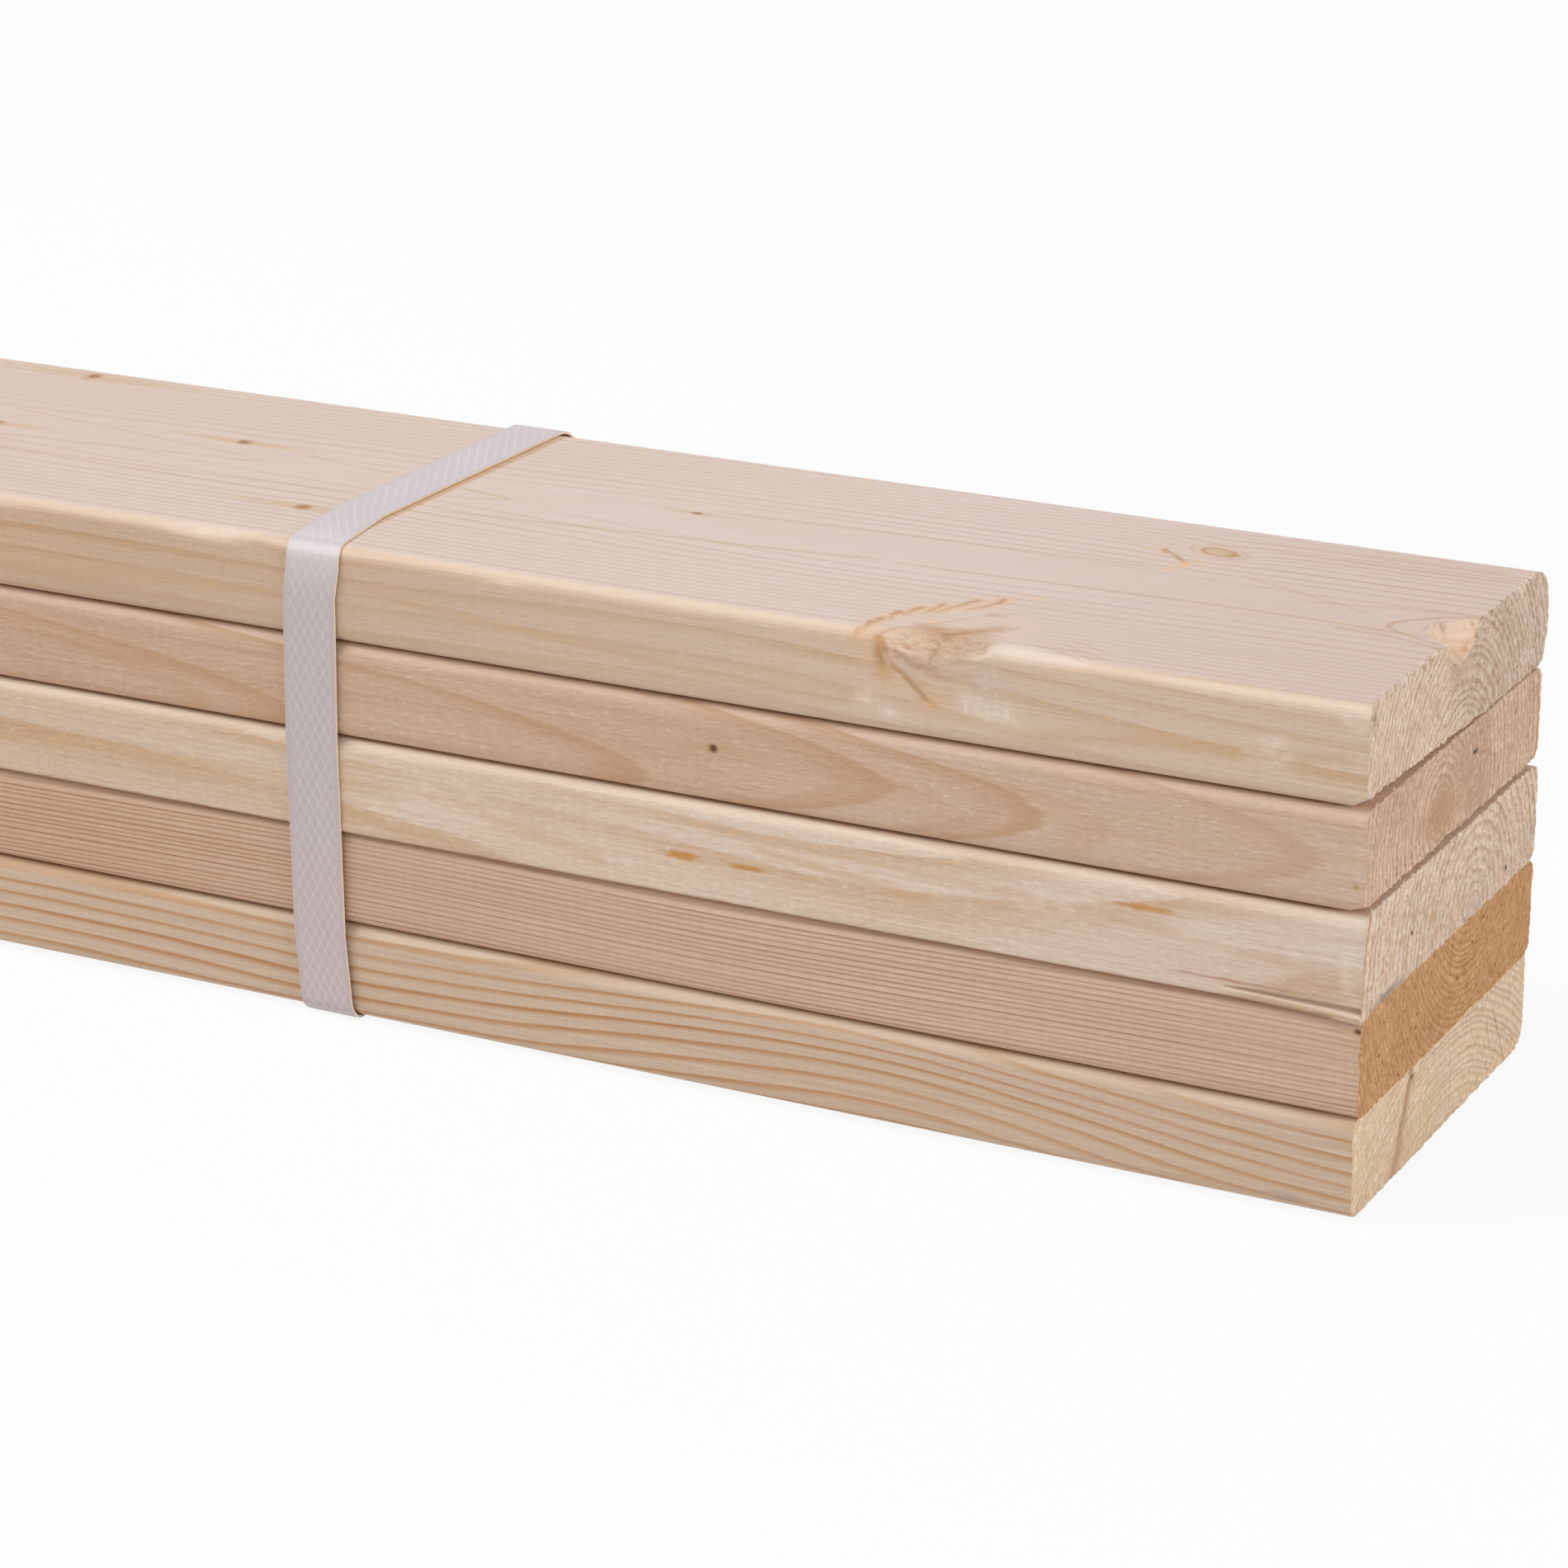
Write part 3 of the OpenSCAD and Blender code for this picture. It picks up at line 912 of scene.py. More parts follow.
def coatTornKnot(coat, spot, at, size):
    along, over, seen = tornChart(at, size)
    fine = roughness(at, (0.8, 0.5, 0.5), 17)
    coarse = roughness(at, (2.4, 1.0, 1.0), 18)
    hairs = roughness(at, (0.55, 2.6, 2.6), 19)
    curls = np.clip(1.0 - np.abs(roughness(at, (1.6, 1.1, 1.1), 20)) / 0.22, 0.0, 1.0)
    drawing = np.zeros((len(at), 4))
    # painted highlight along the upper edge to the right of the scar
    drawLines(drawing, [stroke("white", 2.4, 0.8, (10.6, 0.6), (17.5, 1.4), (30.0, 0.4))], along, over)
    for tone, strength, a, b, halfA, halfB in tornKnot["tints"]:
        lay(drawing, strength * bell((along - a) / halfA, (over - b) / halfB), tone)
    hooks = tornKnot["hooks"]
    drawLines(drawing, [stroke("orange", 2.0, 0.7, *hook) for hook in hooks], along - 0.5, over + 0.4)
    drawLines(drawing, [stroke("fold", 0.8, 0.95, *hook) for hook in hooks], along, over)
    drawLines(drawing, tornKnot["lines"], along, over)
    far = np.hypot((along - 1.2) / 10.5, (over - 0.4 - 0.3 * along) / 7.4) + 0.14 * coarse
    wool = np.clip((1.1 - far) / 0.3, 0.0, 1.0)
    lay(drawing, 0.9 * wool, "tan")
    lay(drawing, 0.7 * wool * bell((along + 4.5) / 4.5, (over - 0.5) / 4.0), "sand")
    lay(drawing, 0.5 * bell((along - 3.5) / 8.0, (over + 3.0) / 6.0), "tan")
    drawLines(drawing, tornKnot["flow"], along, over)
    drawLines(drawing, tornKnot["streaks"], along, over + 0.6 * coarse)
    lowered = np.clip((5.0 - over) / 4.0, 0.2, 1.0)
    lay(drawing, wool * lowered * np.clip(0.7 * fine + 0.3 * coarse - 0.25, 0.0, 0.5), "pale")
    lay(drawing, wool * curls * 0.5 * bell((along + 3.5) / 6.0, over / 5.0), "pale")
    lay(drawing, wool * np.clip(-0.8 * fine - 0.4 * coarse - 0.1, 0.0, 0.7), "rust")
    frayed = bell((along - 11.8) / 3.4, (over + 6.8) / 4.0)
    lay(drawing, frayed * (0.85 + 0.3 * coarse), "lilac")
    lay(drawing, frayed * np.clip(0.4 * hairs + 0.5 * fine, 0.0, 0.6), "pale")
    for a, b, halfA, halfB in tornKnot["fraying"]:
        patch = bell((along - a) / halfA, (over - b) / halfB)
        lay(drawing, 0.35 * patch, "white")
        lay(drawing, patch * np.clip(0.5 * hairs + 0.7 * fine, 0.0, 0.75), "white")
    near = seen & (np.abs(along) < 45.0)
    coat[near] = drawing[near]


ovalKnot = {
    "middle": (-59.9, 74.9),
    "half": (3.5, 2.3),
    "lines": [
        stroke(
            "orange", 0.75, 0.55,
            (-74.0, 71.4), (-71.2, 72.6), (-69.1, 70.4), (-69.5, 68.2), (-73.5, 66.2),
            taper=0.2,
        ),
        stroke("fold", 0.8, 0.75, (-69.6, 71.0), (-68.6, 69.6), fade=0.2),
        stroke("fold", 0.6, 0.75, (-70.4, 72.2), (-66.7, 69.4), (-63.2, 65.3), fade=-0.3, taper=0.0),
        stroke("orange", 1.2, 0.8, (-62.9, 65.0), (-62.7, 62.7), (-63.9, 60.8), (-66.0, 59.4), fade=0.3),
        stroke("orange", 0.9, 0.65, (-63.2, 65.0), (-61.9, 66.3), (-58.9, 65.7), (-54.5, 65.9)),
    ],
}


def coatOvalKnot(coat, spot, at, size):
    u, v, w = at.T
    near = (w > size[2] - 0.05) & (u > -94.0) & (u < -50.0) & (v > 56.0) & (v < 87.0)
    drawing = np.zeros((len(at), 4))
    wobble = 0.3 * roughness(at, (1.6, 1.0, 1.0), 26)
    drawLines(drawing, ovalKnot["lines"], u + wobble, v + 0.8 * wobble)
    along = (u - ovalKnot["middle"][0] + wobble) / ovalKnot["half"][0]
    across = (v - ovalKnot["middle"][1] + 0.18 * (u - ovalKnot["middle"][0])) / ovalKnot["half"][1]
    far = np.hypot(along, across)
    lay(drawing, 0.45 * bell(far / 2.4), "rose")
    lay(drawing, 0.9 * np.clip((1.1 - far) / 0.15, 0.0, 1.0), "tan")
    lay(drawing, 0.25 * np.clip(roughness(at, (1.5, 0.6, 1.0), 27), 0.0, 1.0) * (far < 0.9), "orange")
    lay(drawing, 0.95 * bell((far - 1.0) / 0.17), "fold")
    lay(drawing, 0.4 * bell((far - 1.7) / 0.14), "rust")
    lay(drawing, 0.85 * bell((along - 0.95) / 0.42, (across + 0.1) / 0.7), "fold")
    coat[near] = drawing[near]


breakout = {
    "stud_4": {"front": 1.3, "back": 1.3, "length": 3.5, "reachUp": 6.0},
    "stud_5": {"front": 2.4, "back": -0.9, "length": 3.5, "reachUp": 8.0},
}


def cutBreakout(name):
    # the saw tore the lower edge of the right end, to a height that changes from front to back
    spec = breakout[name]

    def cut(spot, at, size):
        u, v, w = at.T
        ragged = 0.95 + 0.15 * roughness(at, (50.0, 5.0, 50.0), 8)
        ragged += 0.15 * roughness(at, (50.0, 0.7, 50.0), 9)
        high = np.maximum(spec["front"] + (spec["back"] - spec["front"]) * v / size[1], 0.15)
        rise = high * ragged * np.clip(1.0 + u / spec["length"], 0.0, 1.0)
        spot[:, 2] += rise * np.clip(1.0 - w / spec["reachUp"], 0.0, 1.0)

    return cut


split = {"length": 27.0, "rise": 2.1, "reach": 5.0, "drop": 1.0, "flare": 0.35, "gape": 2.2}


def cutSplit(spot, at, size):
    # a sliver along the lower front edge has come away and hangs a little
    u, v, w = at.T
    near = np.clip(1.0 + u / split["length"], 0.0, 1.0)
    shallow = np.clip(1.0 - v / split["reach"], 0.0, 1.0)
    under = np.clip((split["rise"] - w) / 0.25, 0.0, 1.0)
    crack = np.exp(-(((w - split["rise"]) / 0.22) ** 2))
    spot[:, 2] -= split["drop"] * near**1.6 * shallow * under
    spot[:, 1] -= split["flare"] * near**1.6 * shallow * under
    spot[:, 1] += split["gape"] * np.sqrt(near) * crack * (v < 0.05)
    nicks = np.clip(roughness(at, (4.0, 50.0, 50.0), 12) - 0.25, 0.0, 1.0)
    spot[:, 2] += 0.5 * nicks * ((v < 0.6) & (w < 0.6))


arrisDents = [
    {"at": (-177.0, 0.6, 19.0), "radius": (2.2, 1.6, 1.6), "depth": 0.5},
    {"at": (-235.4, 0.2, 16.6), "radius": (3.0, 1.6, 2.2), "depth": 0.6},
    {"at": (-247.0, 0.8, 19.2), "radius": (9.0, 2.2, 2.2), "depth": 0.45},
    {"at": (-297.0, 0.8, 19.2), "radius": (5.0, 2.0, 2.0), "depth": 0.3},
]


def cutDents(spot, at, size):
    for dent in arrisDents:
        far = (((at - np.array(dent["at"])) / np.array(dent["radius"])) ** 2).sum(axis=1)
        depth = dent["depth"] * np.exp(-far)
        spot[:, 1] += depth * 0.7
        spot[:, 2] -= depth * 0.7


def roughness(at, scale, seed):
    # smooth noise from -1 to 1 over the points, on a lattice of that scale
    cell = at / np.array(scale, float)
    low = np.floor(cell).astype(np.int64)
    part = cell - low
    part = part * part * (3.0 - 2.0 * part)
    total = np.zeros(len(at))
    for dx in (0, 1):
        for dy in (0, 1):
            for dz in (0, 1):
                key = (low[:, 0] + dx) * 73856093 ^ (low[:, 1] + dy) * 19349663
                key = key ^ (low[:, 2] + dz) * 83492791 ^ seed * 2654435761
                key = (key ^ (key >> 13)) * 1274126177 & 0x7FFFFFFF
                value = ((key ^ (key >> 15)) & 0xFFFF) / 32767.5 - 1.0
                weight = np.where(dx, part[:, 0], 1.0 - part[:, 0])
                weight = weight * np.where(dy, part[:, 1], 1.0 - part[:, 1])
                weight = weight * np.where(dz, part[:, 2], 1.0 - part[:, 2])
                total += weight * value
    return total


# Studs

# edges: radii of the front lower, back lower, back upper and front upper edge
# pith: the log's middle, across and up from the stud's corner, which leans by millimetres a metre
# flat, edge and end: colours between the growth lines and on them, on wide faces, narrow faces and ends
# wool and soft: strength of the flecks, and where in a ring its line sets in, on wide and narrow faces
# faint and even: strength of the growth lines where they fade, and of the weakest one
# crumbly: of the end's front and back parts; teeth: how far from the front the saw left a jagged upper edge
# contact: whether another stud lies under it and on it, and so where shade is painted into the seam;
# openFace: height of the wide face that gets knots
# each stud also sets the strength and colour of the highlight painted on its upper eased edges
studs = {
    "stud_1": {
        "slot": "wood_striped", "edges": (3.0, 5.0, 3.0, 3.0),
        "pith": (50.0, -45.0), "lean": (6.0, -12.0), "gap": 2.2, "sway": 2.0, "wobble": 1.1, "seed": 1.0,
        "flat": ((0.77, 0.58, 0.41), (0.66, 0.40, 0.21)),
        "edge": ((0.69, 0.515, 0.375), (0.51, 0.25, 0.09)),
        "end": ((0.97, 0.74, 0.53), (0.76, 0.48, 0.28)),
        "endLine": 0.6, "endWarm": (0.78, 0.57, 0.37), "endGap": 1.5,
        "faint": 0.7, "even": 0.8, "cloud": 0.12, "warm": (0.68, 0.47, 0.31),
        "wool": (0.1, 0.12), "soft": (0.5, 0.5), "streak": 0.4, "yellow": 0.1,
        "edgeHighlight": 0.45, "edgeHighlightTone": (0.86, 0.7, 0.52), "lint": 0.4, "fibre": (0.95, 0.80, 0.62),
        "pits": 0.15, "pit": (0.62, 0.42, 0.25), "crumbly": (0.7, 0.7), "contact": (False, True),
        "ovals": [
            {"at": (-84.0, 0.0, 8.0), "size": 0.01, "stretch": 4.0, "lift": -4.0, "reach": 1500.0},
        ],
    },
    "stud_2": {
        "slot": "wood_tan", "edges": (3.0, 3.0, 3.0, 3.0),
        "pith": (22.0, -62.0), "lean": (4.0, 14.0), "gap": 1.05, "sway": 1.0, "wobble": 0.25, "seed": 2.0,
        "flat": ((0.70, 0.49, 0.35), (0.54, 0.33, 0.20)),
        "edge": ((0.73, 0.515, 0.37), (0.40, 0.205, 0.10)),
        "end": ((0.76, 0.425, 0.205), (0.50, 0.235, 0.085)),
        "endLine": 0.6, "endWarm": (0.58, 0.32, 0.15), "endPith": (58.0, 32.0), "endGap": 1.35,
        "faint": 0.6, "even": 0.55, "cloud": 0.25, "warm": (0.64, 0.42, 0.28),
        "wool": (0.12, 0.2), "soft": (0.4, 0.45), "streak": 0.45, "yellow": 0.95,
        "edgeHighlight": 0.45, "edgeHighlightTone": (0.8, 0.58, 0.42), "lint": 0.3, "fibre": (0.86, 0.62, 0.38),
        "pits": 0.9, "pit": (0.25, 0.11, 0.035), "crumbly": (0.9, 0.9), "contact": (True, True),
        "pins": [
            {"at": (-0.6, 0.0, 17.7), "size": 0.6},
        ],
    },
    "stud_3": {
        "slot": "wood_cream", "edges": (1.0, 3.0, 3.0, 3.0),
        "pith": (60.0, -1.0), "lean": (10.0, 16.0), "gap": 2.3, "sway": 2.0, "wobble": 0.9, "seed": 3.0,
        "flat": ((0.79, 0.62, 0.48), (0.70, 0.50, 0.34)),
        "edge": ((0.83, 0.665, 0.53), (0.69, 0.46, 0.275)),
        "end": ((0.95, 0.735, 0.585), (0.66, 0.40, 0.225)),
        "endLine": 0.95, "endWarm": (0.72, 0.53, 0.38),
        "faint": 0.55, "even": 0.6, "cloud": 0.25, "warm": (0.75, 0.585, 0.455),
        "wool": (0.15, 0.34), "soft": (0.5, 0.35), "streak": 0.4, "yellow": 1.2,
        "edgeHighlight": 0.5, "edgeHighlightTone": (0.96, 0.82, 0.66), "lint": 1.0, "fibre": (0.98, 0.88, 0.76),
        "pits": 0.4, "pit": (0.56, 0.43, 0.32), "crumbly": (1.0, 1.1), "contact": (True, True),
    },
    "stud_4": {
        "slot": "wood_pink", "edges": (3.0, 3.0, 3.0, 3.0),
        "pith": (40.0, 6.0), "lean": (30.0, 5.0), "gap": 1.25, "sway": 1.5, "wobble": 0.8, "seed": 4.0,
        "flat": ((0.71, 0.49, 0.35), (0.63, 0.39, 0.24)),
        "edge": ((0.70, 0.495, 0.36), (0.655, 0.445, 0.31)),
        "end": ((0.85, 0.60, 0.435), (0.56, 0.315, 0.175)),
        "endLine": 0.85, "endWarm": (0.64, 0.42, 0.275), "endGap": 1.9,
        "faint": 0.8, "even": 0.3, "cloud": 0.5, "warm": (0.66, 0.43, 0.285),
        "wool": (0.15, 0.36), "soft": (0.5, 0.5), "streak": 0.35, "yellow": 0.75,
        "edgeHighlight": 0.55, "edgeHighlightTone": (0.85, 0.64, 0.49), "lint": 0.55, "fibre": (0.93, 0.77, 0.61),
        "pits": 0.5, "pit": (0.4, 0.25, 0.15), "crumbly": (0.8, 0.9), "contact": (True, True),
        "pins": [
            {"at": (-132.2, 0.0, 11.3), "size": 1.0, "stretch": 1.1},
        ],
    },
    "stud_5": {
        "slot": "wood_pale", "edges": (3.0, 1.2, 5.0, 3.0), "wane": 3.0,
        "pith": (48.0, -9.0), "lean": (6.0, 8.0), "gap": 1.8, "sway": 1.2, "wobble": 0.5, "seed": 5.0,
        "flat": ((0.735, 0.60, 0.53), (0.585, 0.40, 0.29)),
        "edge": ((0.75, 0.565, 0.415), (0.65, 0.42, 0.24)),
        "end": ((0.88, 0.69, 0.55), (0.58, 0.355, 0.205)),
        "endLine": 0.9, "endWarm": (0.69, 0.49, 0.34),
        "faint": 0.75, "even": 0.55, "cloud": 0.25, "warm": (0.68, 0.535, 0.44), "heart": 47.0,
        "wool": (0.08, 0.18), "soft": (0.7, 0.45), "streak": 0.2, "yellow": 1.4,
        "edgeHighlight": 0.6, "edgeHighlightTone": (0.97, 0.77, 0.615), "lint": 1.0, "fibre": (0.95, 0.84, 0.71),
        "pits": 0.5, "pit": (0.45, 0.32, 0.22), "crumbly": (0.6, 1.2), "contact": (True, False),
        "teeth": 38.0, "openFace": 20.0, "knot": (0.36, 0.18, 0.08), "bark": (0.52, 0.30, 0.15),
        "coats": [coatTornKnot, coatOvalKnot, coatBrokenKnot],
        "pins": [
            {"at": (-163.6, 52.5, 20.0), "size": 0.9},
            {"at": (-274.4, 56.2, 20.0), "size": 1.8, "stretch": 1.1},
            {"at": (-236.8, 20.5, 20.0), "size": 2.0, "stretch": 1.1},
            {"at": (-331.2, 45.5, 20.0), "size": 1.6, "stretch": 1.4},
            {"at": (-335.0, 87.0, 20.0), "size": 2.6, "stretch": 0.8, "lift": 2.5},
            {"at": (-88.9, 93.9, 20.0), "size": 0.7},
        ],
        "ovals": [
            {"at": (-59.9, 74.9, 20.0), "size": 0.01, "stretch": 1.5, "lift": 3.0, "reach": 620.0},
        ],
    },
}

hiddenKnots = {"pins": 3, "ovals": 2, "from": -1760.0, "to": -380.0}


def scatterKnots(look, size):
    # knots on the length that the photo cuts off and on the back, from a fixed seed for each stud
    chance = np.random.default_rng(int(look["seed"]) + 70)
    for kind, big in (("pins", 1.3), ("ovals", 3.2)):
        for _ in range(hiddenKnots[kind]):
            u = chance.uniform(hiddenKnots["from"], hiddenKnots["to"])
            side = chance.choice(("front", "back", "flat"))
            v = {"front": 0.0, "back": size[1], "flat": chance.uniform(12.0, size[1] - 12.0)}[side]
            w = look["openFace"] if side == "flat" else chance.uniform(5.0, size[2] - 5.0)
            wide = big * chance.uniform(0.8, 1.3)
            knot = {"at": (u, v, w), "size": wide, "stretch": chance.uniform(1.2, 2.0), "lift": wide * 0.7}
            look[kind].append(knot)


plainLook = {"coats": (), "openFace": 0.0}
plainLook.update({"knot": (0.15, 0.06, 0.025), "bark": (0.37, 0.195, 0.085), "resin": (0.62, 0.40, 0.22)})
for look in studs.values():
    look.update({**plainLook, "pins": [], "ovals": [], **look})


def between(start, end, step):
    return np.linspace(start, end, max(1, round(abs(end - start) / step)) + 1)


def finer(values, step):
    # the same values with more between them, none further apart than step
    pairs = zip(values, values[1:])
    runs = [np.linspace(a, b, max(1, math.ceil((b - a) / step)) + 1)[:-1] for a, b in pairs]
    return np.concatenate(runs + [values[-1:]])


def easedAxis(size, low, high, step):
    # places across a section: close together over the round edges, then a step apart
    curve = np.array((0.0, 0.25, 0.5, 0.75, 1.0))
    starts = np.concatenate([curve * r for r in low])
    ends = size - np.concatenate([curve * r for r in high])
    inner = between(max(low), size - max(high), step)
    return np.unique(np.round(np.concatenate((starts, inner, ends)), 4))


shell = {
    "acrossStep": 8.0,
    "upStep": 2.0,
    "fineStep": 0.42,
    "endStep": 0.5,
    "endZone": {"stud_5": (3.0, 9.0)},  # length with the full lattice at the left and right ends
    "plainZone": (3.0, 4.5),
}


def studStations(length, spans, endZone):
    # places along a stud, each with the windows on its loop that are fine there, or None for all of it
    left, right = endZone
    runs = [(-length, left - length, shell["endStep"], None), (-right, 0.0, shell["endStep"], None)]
    for start, end, step, windows in spans:
        runs.append((max(start, left - length), min(end, -right), step, windows))
    stations = {}
    for start, end, step, windows in runs:
        for u in between(start, end, step):
            stations.setdefault(round(u, 4), windows)
    return dict(sorted(stations.items()))


def sectionLoop(across, up):
    lower = [(j, 0) for j in range(across)]
    back = [(across, k) for k in range(up)]
    upper = [(j, up) for j in range(across, 0, -1)]
    front = [(0, k) for k in range(up, 0, -1)]
    return lower + back + upper + front


def loopPicks(columns, rows, coarse, windows):
    # the points that a station keeps of the whole loop: the coarse ones, and all those in a fine window
    lastColumn, lastRow = len(columns) - 1, len(rows) - 1
    picks = []
    for index, (j, k) in enumerate(sectionLoop(lastColumn, lastRow)):
        v, w = columns[j], rows[k]
        keep = windows is None
        keep = keep or (k in (0, lastRow) and v in coarse[0]) or (j in (0, lastColumn) and w in coarse[1])
        for face, low, high in windows or ():
            keep = keep or (face == "top" and k == lastRow and low <= v <= high)
            keep = keep or (face == "front" and j == 0 and low <= w <= high)
        if keep:
            picks.append(index)
    return picks


def studShell(stations, columns, rows, coarse):
    # closed skin of a stud: a loop of points at each station, and a lattice on each end
    across, up = len(columns) - 1, len(rows) - 1
    loop = sectionLoop(across, up)
    picksOf = {windows: loopPicks(columns, rows, coarse, windows) for windows in set(stations.values())}
    points, faces, rims = [], [], []
    for u, windows in stations.items():
        picks = picksOf[windows]
        ids = {p: len(points) + n for n, p in enumerate(picks)}
        points += [(u, columns[loop[p][0]], rows[loop[p][1]]) for p in picks]
        rims.append((picks, ids))
    for (picksA, idsA), (picksB, idsB) in zip(rims, rims[1:]):
        shared = picksA if len(picksA) <= len(picksB) else picksB
        for a, b in zip(shared, shared[1:] + [len(loop)]):
            run = [p % len(loop) for p in range(a, b + 1)]
            lower = [idsA[p] for p in run if p in idsA]
            upper = [idsB[p] for p in run if p in idsB]
            faces.append(lower + upper[::-1])
    sides = len(faces)
    for i, outward in ((0, False), (len(rims) - 1, True)):
        grid = {loop[p]: index for p, index in rims[i][1].items()}
        for j in range(1, across):
            for k in range(1, up):
                grid[j, k] = len(points)
                points.append((list(stations)[i], columns[j], rows[k]))
        for j in range(across):
            for k in range(up):
                face = [grid[j, k], grid[j + 1, k], grid[j + 1, k + 1], grid[j, k + 1]]
                faces.append(face if outward else face[::-1])
    return np.array(points), faces, sides


def easeEdges(spot, size, edges):
    # the square corners of the section become rounds of these radii
    width, thick = size[1:]
    for radius, atBack, atTop in zip(edges, (False, True, True, False), (False, False, True, True)):
        across = spot[:, 1] if not atBack else width - spot[:, 1]
        up = spot[:, 2] if not atTop else thick - spot[:, 2]
        p, q = radius - across, radius - up
        inside = (p > 0) & (q > 0)
        pull = np.maximum(p, q) / np.maximum(np.hypot(p, q), 1e-9)
        across = np.where(inside, radius - p * pull, across)
        up = np.where(inside, radius - q * pull, up)
        spot[:, 1] = across if not atBack else width - across
        spot[:, 2] = up if not atTop else thick - up


def bulgeBack(spot, size, rise):
    width, thick = size[1:]
    radius = ((thick / 2.0) ** 2 + rise**2) / (2.0 * rise)
    out = rise - radius + np.sqrt(np.maximum(radius**2 - (spot[:, 2] - thick / 2.0) ** 2, 0.0))
    spot[:, 1] += out * np.clip((spot[:, 1] - width + 12.0) / 12.0, 0.0, 1.0)


def roughenEnds(spot, at, size, look):
    # brushed sawn ends with nibbled upper and lower edges, always inwards from the clean cut
    seed = int(look["seed"]) * 10
    u, v, w = at.T
    level = np.minimum(w, size[2] - w)
    front, back = look["crumbly"]
    share = (v - crumblyZone[0]) / (crumblyZone[1] - crumblyZone[0])
    crumbly = front + (back - front) * np.clip(share, 0.0, 1.0)
    wool = 0.16 + 0.1 * roughness(at, (9.0, 1.2, 4.0), seed)
    wool += 0.16 * crumbly * roughness(at, (9.0, 1.1, 1.0), seed + 1)
    nibble = np.clip(0.2 + roughness(at, (9.0, 0.8, 1.5), seed + 2), 0.0, 1.0)
    bite = 0.2 * nibble * np.clip(1.0 - level / 0.9, 0.0, 1.0)
    jagged = np.clip(0.3 + roughness(at, (9.0, 0.75, 9.0), seed + 3), 0.0, 1.0)
    jagged *= v < look.get("teeth", 0.0)
    bite += 1.2 * jagged * np.clip(1.0 - (size[2] - w) / 1.4, 0.0, 1.0)
    for end, inward in ((0.0, -1.0), (-size[0], 1.0)):
        far = np.abs(u - end)
        spot[:, 0] += inward * np.clip(1.0 - far / 1.6, 0.0, 1.0) * np.maximum(wool + bite, 0.02)


damage = {
    "stud_3": [cutSplit],
    "stud_4": [cutBreakout("stud_4")],
    "stud_5": [cutTornKnot, cutBrokenKnot, cutBreakout("stud_5"), cutDents],
}

scarWindow = (("top", 0.0, 36.0), ("front", 0.0, 20.0))
plainSpans = [(-1800.0, -340.0, 24.0, ()), (-340.0, -4.0, 8.0, ())]
spans = {
    "stud_3": [(-1800.0, -340.0, 24.0, ()), (-340.0, -30.0, 2.5, ()), (-30.0, -4.0, 0.9, ())],
    "stud_5": [
        (-1800.0, -340.0, 24.0, ()),
        (-340.0, -225.0, 1.5, ()),
        (-225.0, -114.0, 3.0, ()),
        (-114.0, -94.0, 0.4, scarWindow),
        (-94.0, -52.0, 0.4, (*scarWindow, ("top", 56.0, 87.0))),
        (-52.0, -24.0, 3.0, ()),
        (-24.0, -9.0, 0.5, (("top", 34.0, 62.0),)),
    ],
}
paintFace = {
    "stud_1": [resinColour((0.42, 0.36, 0.31), stain((-13.0, 0.0, 2.5), (6.0, 3.0, 1.0), 0.5))],
    "stud_3": [
        veinColour(edgeVeins["stud_3"], (0.68, 0.43, 0.23), False),
        farEndColour(False, (0.955, 0.935, 0.94)),
        fleeceColour(
            stain((-30.0, 0.0, 11.0), (9.0, 5.0, 3.5), 0.45),
            stain((-60.0, 0.0, 12.0), (9.0, 5.0, 2.5), 0.6),
            stain((-3.0, 0.0, 9.0), (2.5, 5.0, 6.0)),
            stain((-195.0, 0.0, 9.0), (16.0, 5.0, 6.0), 0.5),
        ),
        resinColour(
            (0.63, 0.30, 0.08),
            stain((-139.4, 0.0, 8.4), (5.0, 3.0, 1.1), 1.0),
            stain((-125.8, 0.0, 8.2), (3.8, 3.0, 0.7), 1.0),
            stain((-43.2, 0.0, 14.6), (6.0, 3.0, 0.9), 0.8),
            stain((-25.0, 0.0, 3.4), (15.0, 3.0, 0.4), 0.7, (0.50, 0.27, 0.17)),
        ),
    ],
    "stud_4": [
        figureColour(
            (-9.0, 9.6, 8.0, 0.45),
            (-63.0, 8.2, 9.0, 0.75),
            (-72.0, 8.4, 6.0, 0.35),
            (-95.0, 9.2, 10.0, 0.7),
            (-104.0, 9.0, 6.0, 0.4),
            (-148.0, 3.0, 14.0, 0.75),
            (-226.0, 2.0, 16.0, 0.8),
            (-247.0, 2.0, 12.0, 0.4),
            (-318.0, 6.0, 16.0, 0.6),
            (-405.0, 8.0, 14.0, 0.6),
        ),
        resinColour((0.56, 0.36, 0.20), stain((-1.9, 0.0, 5.6), (0.9, 3.0, 1.2), 0.9)),
    ],
    "stud_5": [
        veinColour(topVeins, (0.60, 0.39, 0.23), True),
        veinColour(edgeVeins["stud_5"], (0.66, 0.42, 0.23), False),
        farEndColour(True, (0.94, 0.895, 0.88)),
        bandShadowPaint,
        fleeceColour(
            stain((-19.0, 0.0, 8.0), (5.5, 5.0, 4.0)),
            stain((-2.5, 0.0, 17.0), (3.0, 5.0, 2.5)),
            stain((-246.0, 0.8, 18.6), (11.0, 3.0, 1.8), 0.6),
        ),
    ],
}
